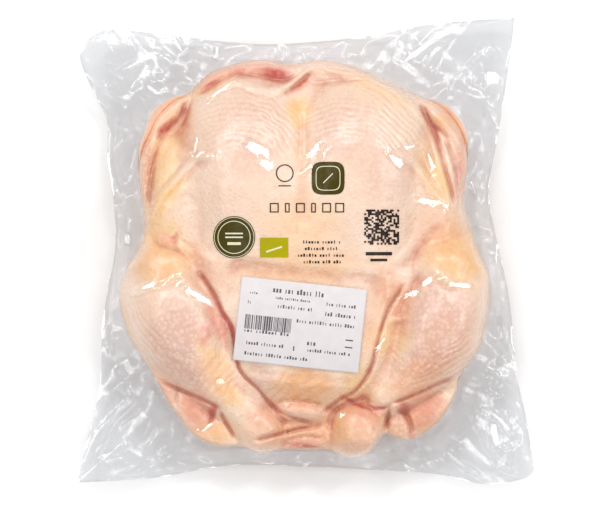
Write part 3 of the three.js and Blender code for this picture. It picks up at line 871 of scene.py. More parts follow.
def margin_middle(x, y, from_rim):
    near_rim = np.clip(1 - from_rim / RIM_SHARE, 0, 1)
    turn = np.arctan2(y, x)
    folds = sum((1 - 2 * np.abs(np.sin(count * turn / 2 + i))) / (i + 1)
                for i, count in enumerate(FOLDS_ROUND))
    lift = sum(CORNER_LIFT[name] * np.clip(1 - np.hypot(x - at[0], y - at[1]) / CORNER_REACH, 0, 1) ** 2
               for name, at in CORNERS.items())
    return SEAM - RIM_DROOP * near_rim + lift + FOLD_HEIGHT * folds * smooth_step(near_rim * 1.5)


print("middle of the margin at a low corner, mm:",
      round(float(margin_middle(np.array(HALF_WIDTH), np.array(-HALF_LENGTH), np.array(0.0))), 1))

# %% Facets
# Folded waves: size and height of each
FACETS = ((31, 0.42), (23, 0.36), (17, 0.3), (13, 0.22), (9, 0.15), (6.5, 0.1))
FACET_BEND = 0.35


def crumple(x, y, seed):
    """Nearly flat facets: folded waves in random directions, each a little bent, about -1 to 1."""
    draw = np.random.default_rng(seed)
    total = np.zeros(x.shape)
    for size, height in FACETS:
        angle = draw.uniform(0, math.pi)
        phase = (x * math.cos(angle) + y * math.sin(angle)) / size + draw.uniform()
        phase = phase + FACET_BEND * lumps(x, y, size * 1.3, int(draw.integers(1000)))
        total += height * (2 * np.abs(2 * (phase % 1) - 1) - 1)
    return total


print("waves in the facets:", len(FACETS))

# %% [markdown]
# ## Creases pressed into the margins
#
# A folded bag keeps the creases it got before the air was drawn out. The long ones are single lines with
# sharp backs, in three strengths, each where it lies on this bag. Between them are many short fine ones that
# nobody would miss one by one, so they are drawn by a seeded random number, mostly outwards or along the
# side.

# %% Long creases
# For each half width and height, the creases: each is a line of places x, y, x, y along the fold
MARGIN_CREASES = {
    (1.0, 1.15): [
        (-91, 86, -87, 87, -74, 94, -68, 95), (-73, 99, -66, 102), (-63, 102, -58, 94),
        (-42, 98, -44, 92, -46, 89), (-77, 84, -68, 83, -59, 82), (-76, 79, -72, 77, -69, 72),
        (-98, 76, -92, 74, -88, 69, -84, 64), (-96, 70, -92, 64, -88, 56, -82, 46),
        (45, 89, 49, 93, 54, 97, 60, 102, 64, 105, 70, 107, 74, 107),
        (49, 90, 55, 95, 60, 100, 64, 101, 71, 104, 74, 107), (57, 77, 60, 79, 64, 80, 68, 78, 72, 77),
        (76, 87, 79, 90, 84, 94, 87, 96, 91, 97), (92, 86, 92, 80), (75, 63, 78, 64, 82, 62, 87, 61, 92, 60),
        (92, 60, 87, 56, 82, 51, 78, 50, 75, 49), (100, 111, 99, 105, 97, 99, 96, 96),
        (82, 34, 80, 28, 80, 20),
        (75, 26, 74, 20), (92, -13, 95, -24, 94, -33, 95, -41, 98, -47), (84, -46, 91, -46, 96, -51, 92, -54),
        (81, -52, 75, -59), (74, -61, 74, -67, 75, -71), (80, -63, 85, -66, 90, -69, 95, -68),
        (90, -78, 93, -81, 99, -83), (88, -83, 90, -93),
        (72, -75, 77, -79, 81, -83, 84, -87, 86, -93, 90, -98, 92, -102, 96, -105, 100, -106),
        (68, -90, 71, -91, 74, -93), (67, -98, 71, -99, 74, -102, 78, -104, 83, -109),
        (50, -101, 55, -104, 61, -106), (-90, -58, -87, -61, -81, -62), (-87, -58, -81, -60),
        (-96, -66, -92, -66, -85, -71), (-79, -66, -83, -71, -89, -77, -94, -82, -97, -88, -101, -95),
        (-66, -79, -69, -85, -74, -93, -79, -99), (-85, -95, -82, -96, -79, -99),
        (-102, -100, -96, -102, -89, -100, -83, -99), (-51, -92, -57, -93, -64, -96),
        (-82, -108, -74, -104, -66, -100, -60, -98, -53, -99), (-49, -101, -55, -105, -58, -106),
        (-92, 26, -88, 17, -87, 11), (-92, 42, -86, 42, -83, 43, -78, 45), (-86, 8, -86, 3),
        (-96, -20, -91, -20, -90, -26, -89, -33, -91, -41, -94, -48), (-90, -57, -85, -50, -81, -52),
    ],
    (0.9, 0.7): [
        (-94, 105, -92, 101), (-78, 104, -71, 101), (-66, 94, -61, 90, -56, 86), (-58, 98, -50, 89),
        (-59, 91, -52, 88, -49, 84), (-47, 100, -40, 98, -30, 98), (-83, 78, -78, 83, -77, 84),
        (-98, 76, -93, 82),
        (-90, 59, -87, 51), (-80, 60, -74, 67), (-94, 90, -93, 85), (65, 82, 69, 84), (86, 98, 88, 101),
        (83, 91, 84, 86, 86, 81, 87, 79), (88, 85, 88, 80), (90, 85, 90, 80),
        (80, 84, 79, 81, 79, 79, 82, 78, 80, 76, 76, 74, 71, 70), (76, 62, 78, 58, 80, 56), (81, 51, 86, 56),
        (99, 112, 92, 110, 84, 108, 79, 108), (43, 101, 45, 103), (88, 28, 83, 22, 80, 20),
        (92, 6, 92, -1, 88, -5), (86, -7, 93, -9), (89, -49, 92, -54), (76, -67, 75, -71),
        (80, -64, 86, -71, 88, -76), (83, -69, 91, -73, 94, -76, 96, -80, 100, -83),
        (99, -70, 103, -77, 104, -80, 102, -84), (92, -85, 90, -93),
        (90, -94, 96, -95, 100, -93, 102, -91, 102, -84), (90, -94, 90, -98, 96, -104),
        (98, -98, 100, -105, 100, -107), (80, -77, 83, -77, 87, -78), (69, -91, 72, -93),
        (49, -101, 50, -99, 55, -99, 60, -99), (57, -102, 61, -105), (63, -86, 66, -88), (-92, -65, -89, -64),
        (-74, -68, -78, -73, -82, -78, -85, -80, -89, -83, -90, -86), (-68, -76, -73, -82, -78, -90),
        (-68, -76, -63, -76), (-62, -78, -60, -83), (-82, -94, -78, -98), (-59, -87, -62, -92, -64, -96),
        (-46, -96, -51, -101), (-95, 46, -95, 42, -92, 34, -91, 26), (-88, -10, -89, -14),
    ],
    (0.85, 0.3): [
        (-92, 101, -94, 99, -98, 90, -99, 82, -98, 77), (-92, 101, -86, 99, -79, 98),
        (-72, 76, -66, 76, -63, 77),
        (59, 86, 62, 90), (60, 94, 64, 96, 67, 100), (53, 83, 56, 90, 59, 96), (44, 96, 47, 97),
        (45, 104, 52, 106, 59, 107), (82, 2, 88, -5, 88, -9), (88, -53, 87, -58), (66, -84, 68, -80, 69, -77),
        (68, -84, 72, -84, 74, -81), (91, -108, 95, -109, 99, -108), (40, -96, 49, -96, 53, -95),
        (-88, -86, -87, -92, -85, -97), (-48, -100, -40, -98, -32, -99), (-68, -95, -63, -90),
        (-96, -107, -89, -106, -81, -104), (-90, 36, -85, 31), (-86, -40, -83, -44),
    ],
}


print("long creases:", sum(len(rows) for rows in MARGIN_CREASES.values()))

# %% Fine creases
FINE_CREASES = 120
FINE_SEED = 31
FINE_RIM = (98, 104)
FINE_LENGTH = (9, 34)
FINE_HALF_WIDTH = (0.45, 0.8)
FINE_HEIGHT = (0.2, 0.5)
FINE_STRAY, FINE_BEND = 0.35, 0.05


def margin_crease_lines():
    """All creases of the margins, each as a line, its half width and its height."""
    for (half_width, height), rows in MARGIN_CREASES.items():
        for row in rows:
            yield np.array(row, float).reshape(-1, 2), half_width, height
    draw = np.random.default_rng(FINE_SEED)
    for _ in range(FINE_CREASES):
        turn = draw.uniform(-math.pi, math.pi)
        rim = min(FINE_RIM[0] / max(abs(math.cos(turn)), 0.01), FINE_RIM[1] / max(abs(math.sin(turn)), 0.01))
        start = draw.uniform(float(outline_radius(turn)) + 1, rim)
        along_side = draw.uniform() > 0.25 + 0.65 * math.sin(2 * turn) ** 2
        heading = turn + draw.normal(0, FINE_STRAY) + (math.pi / 2 if along_side else 0)
        length, bend = draw.uniform(*FINE_LENGTH), draw.normal(0, FINE_BEND)
        steps = np.linspace(-0.5, 0.5, 4) * length
        at = np.array([math.cos(turn), math.sin(turn)]) * start
        way = np.array([math.cos(heading), math.sin(heading)])
        side = np.array([-way[1], way[0]])
        line = at + steps[:, None] * way + (bend * steps**2 / length)[:, None] * side * 4
        yield line, draw.uniform(*FINE_HALF_WIDTH), draw.uniform(*FINE_HEIGHT)


print("creases in all:", sum(1 for _ in margin_crease_lines()))

# %% [markdown]
# ## Tents and plates in the film
#
# The film is drawn tight from bulge to bulge. Where it leaves the skin it stands in little tents, short
# ridges in the film alone. On and beside them it is stretched flat in small plates, and a flat plate that
# faces the right way mirrors a whole strip of light at once: those are the sharp white marks on such a pack.
# White paint would stay in place when the view moves. Each plate is instead tilted until it mirrors a strip.

# %% Tents
# Lines over the plan, then half width and height, as for the skin
FILM_TENTS = {
    "breast_left": ([(-28, 50.5), (-21, 46.5), (-14.5, 40)], 2.4, 0.9),
    "breast_left_low": ([(-25, 43), (-19, 39)], 1.6, 0.5),
    "breast_right": ([(0, 47.5), (4.5, 49.5), (7.5, 44)], 1.8, 0.8),
    "breast_right_low": ([(0, 41), (6, 38)], 1.3, 0.5),
    "left_fold": ([(-54.5, 45), (-49, 45), (-43.5, 45)], 1.3, 0.9),
    "shoulder_left": ([(-47, 69), (-44, 73), (-39, 77)], 1.2, 0.8),
    "right_upper": ([(39, 46.5), (44, 43), (51.5, 38)], 1.2, 0.8),
    "right_arch": ([(47, 49), (53.5, 50), (58.5, 45.5), (60.5, 38), (62.5, 30.5)], 1.0, 0.7),
    "right_low": ([(53, 24.5), (59.5, 23), (67, 21.5)], 1.4, 0.9),
    "knee_left": (SKIN_LINES["knee_left"][0], 1.2, 1.0),
    "knee_right": (SKIN_LINES["knee_right"][0], 1.2, 1.0),
    "flap_left": ([(-53, -86), (-48, -85), (-45, -81)], 1.1, 0.8),
    "hock_right": ([(14.5, -76.5), (19, -79.5)], 1.4, 0.8),
    "leg_right_inner": ([(36, -41), (33, -47), (28, -54)], 1.0, 0.7),
    "hock_right_side": ([(42, -75), (37, -82), (32, -90), (28, -97)], 0.7, 0.6),
}
print("tents:", len(FILM_TENTS))

# %% Plates
# Small flat plates: place x and y, half length and width, and turn of the length
FILM_PLATES = [
    (-23, 48, 5.4, 2.6, -30), (-19, 40.5, 3.6, 1.8, -35),
    (-49, 46.2, 6.0, 1.6, 0), (-52.5, 50.5, 1.2, 4.0, -12),
    (-45.5, 71, 2.0, 2.2, 0), (-40.5, 76, 6.0, 0.9, 43),
    (3.5, 47.5, 4.0, 1.3, 55), (6, 42.5, 5.0, 1.2, 55),
    (1, 39.5, 3.5, 0.8, 40), (41.9, 44, 5.0, 1.9, -50),
    (47, 49, 4.5, 0.8, 10), (59.5, 42, 4.0, 1.1, -70),
    (60.4, 22.9, 7.0, 2.0, -14), (-70.6, -15, 8.0, 1.4, 20),
    (-60.5, -15, 5.0, 1.9, -42), (-51.5, -21.3, 5.5, 1.3, -28),
    (50.5, -20, 5.0, 1.4, 25), (58.5, -13.7, 4.3, 1.8, 38),
    (65, -13.3, 4.0, 1.8, -38), (73, -16, 5.0, 1.2, -4),
    (-41, -61.6, 1.8, 1.2, 0), (-48, -84, 3.8, 1.0, 25),
    (35.4, -44.5, 3.6, 0.9, 60), (17, -78.4, 1.6, 1.4, 0),
    (89.3, 82.8, 3.2, 3.2, 0), (90.3, -87.4, 2.2, 5.0, 12),
    (-85.5, -55.5, 2.2, 4.4, 25), (-82.2, -96.2, 3.4, 1.1, -38),
    (-85.8, 5.6, 1.8, 2.6, 0), (-43, 95.3, 1.4, 3.6, -10),
    (-61.6, 99.2, 1.1, 4.2, 30), (-79.3, 91.3, 7.0, 1.2, 30),
    (-73.3, 77.2, 3.8, 1.1, -38), (59.1, 99.8, 13.0, 1.3, 36),
    (67.4, 105, 5.5, 1.7, 20), (91.4, -1, 1.1, 5.0, 0),
    (94.7, -37, 0.9, 5.5, 8), (92.9, -81, 5.0, 1.1, -40),
    (72.3, -100.3, 4.2, 1.0, -40), (80, 30, 1.0, 4.0, 20),
]
PLATE_EDGE = 1.3
PLATE_LIFT, PLATE_TILT_LIFT = 0.15, 0.5
FEWEST_POINTS = 3


def plate_slope(place, slopes):
    """The slope that mirrors a strip of light into the lens, for the strip that needs the least turn."""
    to_lens = CAMERA_AT - place
    wanted = []
    for strip in STRIPS.values():
        to_strip = strip_place(*strip[:2]) / MM - place
        facing = to_lens / np.linalg.norm(to_lens) + to_strip / np.linalg.norm(to_strip)
        wanted.append(-facing[:2] / facing[2])
    return min(wanted, key=lambda slope: np.hypot(*(slope - slopes)))


def plate_heights(x, y, film):
    """The film with its plates, and where they are."""
    film, lifted = film.copy(), np.zeros(x.shape)
    for px, py, half_length, half_width, turn in FILM_PLATES:
        near = (np.abs(x - px) < half_length + 5) & (np.abs(y - py) < half_length + 5)
        along, across = turned_back(x[near], y[near], (px, py), turn)
        out = ((along / half_length) ** 4 + (across / half_width) ** 4) ** 0.25
        mask = smooth_step((1 - out) * half_width / PLATE_EDGE + 1)
        if mask.sum() < FEWEST_POINTS:
            continue
        columns = np.stack([x[near] - px, y[near] - py, np.ones(mask.shape)], -1) * mask[:, None]
        slopes = np.linalg.lstsq(columns, film[near] * mask, rcond=None)[0]
        wanted = plate_slope(np.array([px, py, slopes[2]]), slopes[:2])
        raised = PLATE_LIFT + PLATE_TILT_LIFT * np.hypot(*(wanted - slopes[:2])) * half_width
        plane = slopes[2] + raised + wanted[0] * (x[near] - px) + wanted[1] * (y[near] - py)
        film[near] += mask * (plane - film[near])
        lifted[near] = np.maximum(lifted[near], mask)
    return film, lifted


print("plates:", len(FILM_PLATES))

# %% [markdown]
# ## The front film
#
# Over the bird the film clings to the skin, a hair's breadth off, and bridges the hollows that are deeper
# than it gives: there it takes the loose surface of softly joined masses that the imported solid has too.
# Outside the bird it runs down to the margin. Shrinking a sheet onto the bird in a simulation would find a
# like shape, but these few sums give it at once, and the print can ask them for the film's height at any
# place.

# %% Loose film, from margin to bird
NO_SKIN = -99.0
FILM_REACH, REACH_SLOPE, REACH_SOFT = 9.0, 1.35, 4
FILM_OVER_MASSES = 0.4
MARGIN_HALF = 0.3
MARGIN_SOFT, SLACK_HEIGHT = 6, 5
FACET_HEIGHT, FACET_SEED = 0.28, 7
PLEATS_ROUND, PLEAT_HEIGHT, PLEAT_TOP = 47, 0.5, 24


def inward_from_outline(x, y):
    angle = np.arctan2(y, x)
    return outline_radius(angle) - np.hypot(x, y)


def rim_fade(from_rim):
    return smooth_step(from_rim * 30 + 0.3)


def loose_film(x, y, from_rim, margin):
    """The film as if no skin held it up, and its facets in the margin and pleats at the bird's sides."""
    reach = REACH_SLOPE * (inward_from_outline(x, y) + FILM_REACH)
    body = soft_min(masses_top(x, y, FILM_SLOPE), SEAM + reach, REACH_SOFT) + FILM_OVER_MASSES
    free = smooth_step(from_rim / RIM_PINCH)
    loose = margin + (soft_max(body, margin, MARGIN_SOFT) - margin) * free
    slack = smooth_step(1 - (loose - margin) / SLACK_HEIGHT)
    relief = slack * FACET_HEIGHT * crumple(x, y, FACET_SEED) * rim_fade(from_rim)
    pleats = np.abs(np.sin(np.arctan2(y, x) * PLEATS_ROUND + 2 * lumps(x, y, 12, 21))) - 0.5
    side = smooth_step((loose - margin) / SLACK_HEIGHT) * smooth_step((PLEAT_TOP - loose + margin) / 8)
    relief += PLEAT_HEIGHT * side * pleats * (0.6 + 0.6 * lumps(x, y, 9, 22))
    return loose, slack, relief


# %% Film over the bird
FILM_GAP = 0.15
FILM_GIVE, GIVE_SOFT = 1.0, 0.8
FINE_FACET_HEIGHT, FINE_FACET_SCALE, FINE_FACET_SEED = 0.06, 2.2, 9
FILM_BELOW_LABEL = 0.35


def front_film(x, y, from_rim, skin):
    """The front film, and where it is lifted from the skin in a tent or a plate."""
    margin = margin_middle(x, y, from_rim) + MARGIN_HALF
    loose, slack, relief = loose_film(x, y, from_rim, margin)
    past_give = loose - skin - FILM_GAP - FILM_GIVE
    bridged = skin + FILM_GAP + soft_max(past_give, np.zeros(x.shape), GIVE_SOFT)
    film = np.where(skin > 0, bridged, loose) + relief
    tents = line_relief(x, y, FILM_TENTS.values())
    facets = crumple(x * FINE_FACET_SCALE, y * FINE_FACET_SCALE, FINE_FACET_SEED)
    film += tents + FINE_FACET_HEIGHT * facets * (1 - slack)
    in_margin = smooth_step(1.5 - (loose - margin) / 9)
    film += line_relief(x, y, margin_crease_lines()) * smooth_step(from_rim * 40) * in_margin
    film, lifted = plate_heights(x, y, film)
    lifted = np.maximum(lifted, smooth_step(tents / 0.4 - 0.3))
    film = np.where(skin > 0, np.maximum(film, skin + FILM_GAP), film)
    hold = label_hold(x, y, LABEL_BORDER)
    return film + hold * (label_height(x, y) - FILM_BELOW_LABEL - film), lifted


def film_over_bird(x, y, from_rim):
    inward = inward_from_outline(x, y)
    skin = np.where(inward > 0, bird_top(x, y, np.maximum(inward, 0)), NO_SKIN)
    return front_film(x, y, from_rim, skin)


# %% Build the front film
FILM_CELLS = 300
MARGIN_FADE = 3
WELD_WIDTH = 1.2 / 219


def film_masks(from_rim, margin, lifted):
    """Where the film is margin, welded rim, or clings to skin."""
    rim = smooth_step(1 - from_rim / WELD_WIDTH)
    return {"margin": margin, "rim": rim, "clinging": (1 - margin) * (1 - lifted)}


bag_x, bag_y, bag_from_rim = bag_plan(FILM_CELLS)
film_top, film_lifted = film_over_bird(bag_x, bag_y, bag_from_rim)
bag_margin = smooth_step(-inward_from_outline(bag_x, bag_y) / MARGIN_FADE)
film_front = make_mesh("film_front", np.stack([bag_x, bag_y, film_top], -1).reshape(-1, 3),
                       grid_faces(FILM_CELLS, film_top), film_masks(bag_from_rim, bag_margin, film_lifted))

# %% [markdown]
# ## The back film
#
# The back film lies under the bird and meets the front film at the rim. It is pressed flat by the weight, so
# every second point of the front's plan is enough. It takes the underside's masses, and it stays a little
# under the front film and above the table.

# %% Build the back film
BACK_STEP = 2
BACK_SOFT = 6
BACK_FACET_HEIGHT = 1.5
BETWEEN_FILMS, ABOVE_TABLE = 0.25, 0.03


def make_back_film():
    every = (slice(None, None, BACK_STEP), slice(None, None, BACK_STEP))
    x, y, from_rim, front = (values[every] for values in (bag_x, bag_y, bag_from_rim, film_top))
    middle = margin_middle(x, y, from_rim)
    free = smooth_step(from_rim / RIM_PINCH)
    low = soft_min(masses_bottom(x, y), middle - MARGIN_HALF, BACK_SOFT)
    back = middle - MARGIN_HALF + (low - middle + MARGIN_HALF) * free
    slack = smooth_step(1 - (middle - back) / SLACK_HEIGHT)
    back = back + slack * BACK_FACET_HEIGHT * crumple(x, y, FACET_SEED) * rim_fade(from_rim)
    back = np.minimum(back, front - BETWEEN_FILMS)
    on_rim = from_rim <= 1e-9
    back = np.where(on_rim, front, np.maximum(back, ABOVE_TABLE))
    faces = grid_faces(FILM_CELLS // BACK_STEP, back)[:, ::-1]
    masks = film_masks(from_rim, bag_margin[every], np.zeros(x.shape))
    return make_mesh("film_back", np.stack([x, y, back], -1).reshape(-1, 3), faces, masks)


film_back = make_back_film()

# %% [markdown]
# ## The paper label
#
# The label is thin coated paper, and its corners are rounded by the die that cut it. It follows the barrel
# that the bird was pressed to. A single face would have no edge, so it is a closed sheet with two sides and a
# rim.

# %% Label
LABEL_CORNER = 1.0
LABEL_THICKNESS = 0.12
LABEL_CELLS = (120, 80)


def label_places(u, v):
    """Places on the rounded rectangle, across and along it, from shares of its width and length."""
    half_width, half_length = LABEL_WIDTH / 2, LABEL_LENGTH / 2
    across, along = (2 * u - 1) * half_width, (2 * v - 1) * half_length
    past_x = np.abs(across) - half_width + LABEL_CORNER
    past_y = np.abs(along) - half_length + LABEL_CORNER
    past = np.hypot(past_x, past_y)
    corner = (past_x > 0) & (past_y > 0) & (past > LABEL_CORNER)
    pull = np.where(corner, 1 - LABEL_CORNER / np.maximum(past, 1e-9), 0)
    return across - np.sign(across) * past_x * pull, along - np.sign(along) * past_y * pull


def label_to_plan(across, along):
    angle = math.radians(LABEL_TURN)
    return (LABEL_AT[0] + across * math.cos(angle) - along * math.sin(angle),
            LABEL_AT[1] + across * math.sin(angle) + along * math.cos(angle))


def label_surface(x, y):
    """The top of the paper, with the faint waves that the film's creases press into it."""
    return label_height(x, y) + LABEL_THICKNESS + 0.10 * lumps(x, y, 9, 31) + 0.04 * lumps(x, y, 4, 32)


def make_label():
    rows, columns = LABEL_CELLS
    u, v = np.meshgrid(np.linspace(0, 1, rows + 1), np.linspace(0, 1, columns + 1), indexing="ij")
    x, y = label_to_plan(*label_places(u, v))
    top = label_surface(x, y)
    index = np.arange((rows + 1) * (columns + 1)).reshape(rows + 1, columns + 1)
    a, b, c, d = index[:-1, :-1], index[1:, :-1], index[1:, 1:], index[:-1, 1:]
    upper = np.concatenate([np.stack([a, b, c], -1).reshape(-1, 3), np.stack([a, c, d], -1).reshape(-1, 3)])
    lower = upper[:, ::-1] + index.size
    rim = np.concatenate([index[:-1, 0], index[-1, :-1], index[:0:-1, -1], index[0, :0:-1]])
    after = np.roll(rim, -1)
    wall = np.concatenate([np.stack([rim, rim + index.size, after], -1),
                           np.stack([rim + index.size, after + index.size, after], -1)])
    points = np.vstack([np.stack([x, y, height], -1).reshape(-1, 3)
                        for height in (top, top - LABEL_THICKNESS)])
    return make_mesh("label_sheet", points, np.vstack([upper, lower, wall]))


label_piece = make_label()

# %% [markdown]
# ## Print on the film and on the label
#
# Ink is a flat layer on the surface. A picture of the print would be simplest, but it has one sharpness and
# needs a file. Each printed shape is instead a small flat outline that is cut into fine triangles and laid on
# the film or the paper, so it bends with it. The shapes are plain ones of about the size and colour of a
# pack's print: a disc, a rounded square, a panel, rows of short bars and a mosaic.

# %% Print helpers
INK_LIFT, SECOND_INK_LIFT = 0.09, 0.05
INK_CELL = 0.9
WELL_INSIDE = 0.4


class Print:
    """Collects flat shapes as triangles over the plan."""

    def __init__(self):
        self.points = []
        self.faces = []

    def patch(self, corners, cells):
        """A four-sided patch, cut into cells each way."""
        (n, m), base = cells, len(self.points)
        c = [np.array(corner, float) for corner in corners]
        for i in range(n + 1):
            for j in range(m + 1):
                s, t = i / n, j / m
                self.points.append((1 - s) * (1 - t) * c[0] + s * (1 - t) * c[1]
                                   + s * t * c[2] + (1 - s) * t * c[3])
        for i in range(n):
            for j in range(m):
                a = base + i * (m + 1) + j
                b = a + m + 1
                self.faces += [(a, b, b + 1), (a, b + 1, a + 1)]

    def bar(self, x, y, width, height, turn=0.0, cell=INK_CELL):
        """A bar by its middle and its sizes, turned about that middle."""
        angle = math.radians(turn)
        ux, uy = math.cos(angle) * width / 2, math.sin(angle) * width / 2
        vx, vy = -math.sin(angle) * height / 2, math.cos(angle) * height / 2
        corners = [(x - ux - vx, y - uy - vy), (x + ux - vx, y + uy - vy),
                   (x + ux + vx, y + uy + vy), (x - ux + vx, y - uy + vy)]
        self.patch(corners, (max(1, math.ceil(width / cell)), max(1, math.ceil(height / cell))))

    def ring(self, x, y, inner, outer, sides=64, shape=None):
        """A ring or a disc. The shape turns an angle into a share of the radius."""
        rings = max(1, math.ceil((outer - inner) / INK_CELL))
        base = len(self.points)
        for k in range(sides + 1):
            angle = math.radians(360.0 * k / sides)
            stretch = shape(angle) if shape else 1.0
            for r in range(rings + 1):
                radius = (inner + (outer - inner) * r / rings) * stretch
                self.points.append(np.array((x + radius * math.cos(angle), y + radius * math.sin(angle))))
        for k in range(sides):
            for r in range(rings):
                a = base + k * (rings + 1) + r
                b = a + rings + 1
                self.faces += [(a, a + 1, b + 1), (a, b + 1, b)]

    def make(self, name, surface, lift=INK_LIFT):
        plan = np.array(self.points)
        height = surface(plan[:, 0], plan[:, 1]) + lift
        return make_mesh(name, np.column_stack([plan, height]), self.faces)


def on_film(x, y):
    """The front film's height well inside the bag, where print lies."""
    return film_over_bird(x, y, np.full(x.shape, WELL_INSIDE))[0]


print("the film's height at the middle, mm:", round(float(on_film(np.array([0.0]), np.array([0.0]))[0]), 2))

# %% Rows of small bars
BAR_HEIGHTS, BAR_WIDTHS = [0.72, 0.72, 1.0], [0.3, 0.62]
WORD_GAP = 0.8


def dash_row(sheet, draw, x, y, width, height, letter, turn=0.0, centred=True):
    """A row of short bars with gaps between groups, about as wide as a line of small print."""
    angle = math.radians(turn)
    start = -width / 2 if centred else 0
    place = start
    while place < start + width - letter:
        for _ in range(int(draw.integers(3, 8))):
            if place > start + width - letter:
                break
            tall = height * draw.choice(BAR_HEIGHTS)
            off = -(height - tall) / 2
            cx = x + (place + letter / 2) * math.cos(angle) - off * math.sin(angle)
            cy = y + (place + letter / 2) * math.sin(angle) + off * math.cos(angle)
            sheet.bar(cx, cy, letter * draw.choice(BAR_WIDTHS), tall, turn, cell=1.2)
            place += letter
        place += letter * WORD_GAP


def rounded_square(angle):
    return 1 / (abs(math.cos(angle)) ** 4 + abs(math.sin(angle)) ** 4) ** 0.25


print("a rounded square's corner, as a share of its side's distance:", round(rounded_square(math.pi / 4), 2))

# %% Print on the film
MOSAIC_AT = (35.8, 11.4)
MOSAIC_WIDTH, MOSAIC_CELLS, MOSAIC_SHARE = 16.6, 19, 0.52
SMALL_PRINT_GAP = 3.15


def print_film():
    olive, lime, dark, light = Print(), Print(), Print(), Print()
    draw = np.random.default_rng(5)
    olive.ring(-34.3, 6.6, 0.0, 10.0)
    light.ring(-34.3, 6.6, 7.5, 7.85)
    light.ring(-34.3, 6.6, 9.3, 9.55)
    light.bar(-34.3, 8.4, 8.4, 0.7)
    light.bar(-34.3, 6.6, 8.4, 0.7)
    light.bar(-34.3, 3.6, 6.4, 1.3)
    olive.ring(10.3, 34.6, 0.0, 7.8, shape=rounded_square)
    light.ring(10.3, 34.6, 5.5, 5.85, shape=rounded_square)
    light.bar(10.3, 34.6, 6.5, 0.45, turn=45)
    dark.ring(-10.2, 37.0, 3.7, 4.2)
    dark.bar(-10.2, 31.0, 6.0, 0.5)
    for k, width in enumerate((4.2, 2.2, 4.2, 2.2, 4.2, 4.2)):
        for side in (-1, 1):
            dark.bar(-15.2 + 6.2 * k, 20.6 + side * 2.0, width, 0.5, cell=0.8)
            dark.bar(-15.2 + 6.2 * k + side * (width - 0.5) / 2, 20.6, 0.5, 3.6, cell=0.8)
    lime.bar(-15.3, 1.7, 13.4, 9.3)
    light.bar(-15.3, 0.9, 8.0, 0.8, turn=18)
    for k, width in enumerate((19.0, 17.0, 24.0, 18.5)):
        dash_row(dark, draw, 7.6, 4.4 - SMALL_PRINT_GAP * k, width, 1.45, 1.35)
    cell = MOSAIC_WIDTH / MOSAIC_CELLS
    half = MOSAIC_CELLS // 2
    for i in range(MOSAIC_CELLS):
        for j in range(MOSAIC_CELLS):
            if draw.uniform() < MOSAIC_SHARE:
                dark.bar(MOSAIC_AT[0] + (i - half) * cell, MOSAIC_AT[1] + (j - half) * cell,
                         cell * 1.02, cell * 1.02, cell=2)
    dark.bar(34.5, -1.2, 12.5, 1.6)
    dark.bar(34.5, -4.2, 8.0, 1.2)
    return {"olive": olive.make("print_olive", on_film), "lime": lime.make("print_lime", on_film),
            "dark": dark.make("print_dark", on_film),
            "light": light.make("print_light", on_film, INK_LIFT + SECOND_INK_LIFT)}


film_print = print_film()

# %% [markdown]
# ## Print on the label
#
# A scale's label has rows of small black print and a barcode. The same two shapes make them all: a row of
# small bars for each line of print, and bars of random width side by side for the code.

# %% Print on the label
# Rows: place across and along the label, width, height and size of a letter
ROWS_ABOVE_CODE = [
    (-14.7, 15.4, 25.0, 2.6, 1.5), (-13.1, 11.6, 17.0, 1.1, 0.95), (-11.8, 7.8, 17.5, 1.7, 1.25),
    (-25.5, 12.9, 4.0, 1.2, 1.0), (-26.1, 8.3, 2.2, 1.5, 1.0), (11.1, 11.2, 16.0, 1.6, 1.25),
    (11.0, 6.5, 15.5, 1.9, 1.3), (-2.0, 1.8, 29.0, 1.6, 1.25),
]
ROWS_BELOW_CODE = [
    (-26.5, -5.2, 23.0, 1.5, 1.5), (-24.9, -11.0, 19.0, 1.6, 1.25), (4.0, -8.1, 6.5, 2.2, 1.5),
    (4.4, -11.5, 21.0, 1.5, 1.2), (-25.1, -16.0, 31.0, 1.6, 1.3),
]
LABEL_BARS = [(-1.8, -11.5, 0.6, 2.2), (24.1, -4.9, 3.6, 0.6), (24.1, -8.3, 3.6, 0.6)]
CODE_START, CODE_END, CODE_AT, CODE_HEIGHT = -26.2, -4.0, -1.0, 6.8
CODE_BARS, CODE_GAPS = [0.28, 0.28, 0.56, 0.84], [0.3, 0.3, 0.55]
LABEL_INK_LIFT = 0.05


def print_label():
    ink = Print()
    draw = np.random.default_rng(11)

    def bar(across, along, width, height, cell=INK_CELL):
        x, y = label_to_plan(across, along)
        ink.bar(x, y, width, height, LABEL_TURN, cell)

    def rows(values):
        for across, along, width, height, letter in values:
            x, y = label_to_plan(across, along)
            dash_row(ink, draw, x, y, width, height, letter, LABEL_TURN, centred=False)

    rows(ROWS_ABOVE_CODE)
    edge = CODE_START
    while edge < CODE_END:
        width = float(draw.choice(CODE_BARS))
        bar(edge + width / 2, CODE_AT, width, CODE_HEIGHT, cell=1.1)
        edge += width + float(draw.choice(CODE_GAPS))
    rows(ROWS_BELOW_CODE)
    for values in LABEL_BARS:
        bar(*values)
    return ink.make("label_print", label_surface, LABEL_INK_LIFT)


label_ink = print_label()

# %% [markdown]
# ## Shader tools
#
# Two effects are used by more than one finish, so each is a node group: a soft unevenness of colour, and the
# fine crinkle of thin sheet. They work from object coordinates, which here are real metres, so their sizes
# are given in millimetres. The groups put out plain values. Shaders stay in the materials.

# %% Node helpers
def linear(red, green, blue):
    """A colour read as 0 to 255, as the shader's own light values."""
    def one(value):
        value = value / 255
        return value / 12.92 if value <= 0.04045 else ((value + 0.055) / 1.055) ** 2.4
    return (one(red), one(green), one(blue), 1.0)


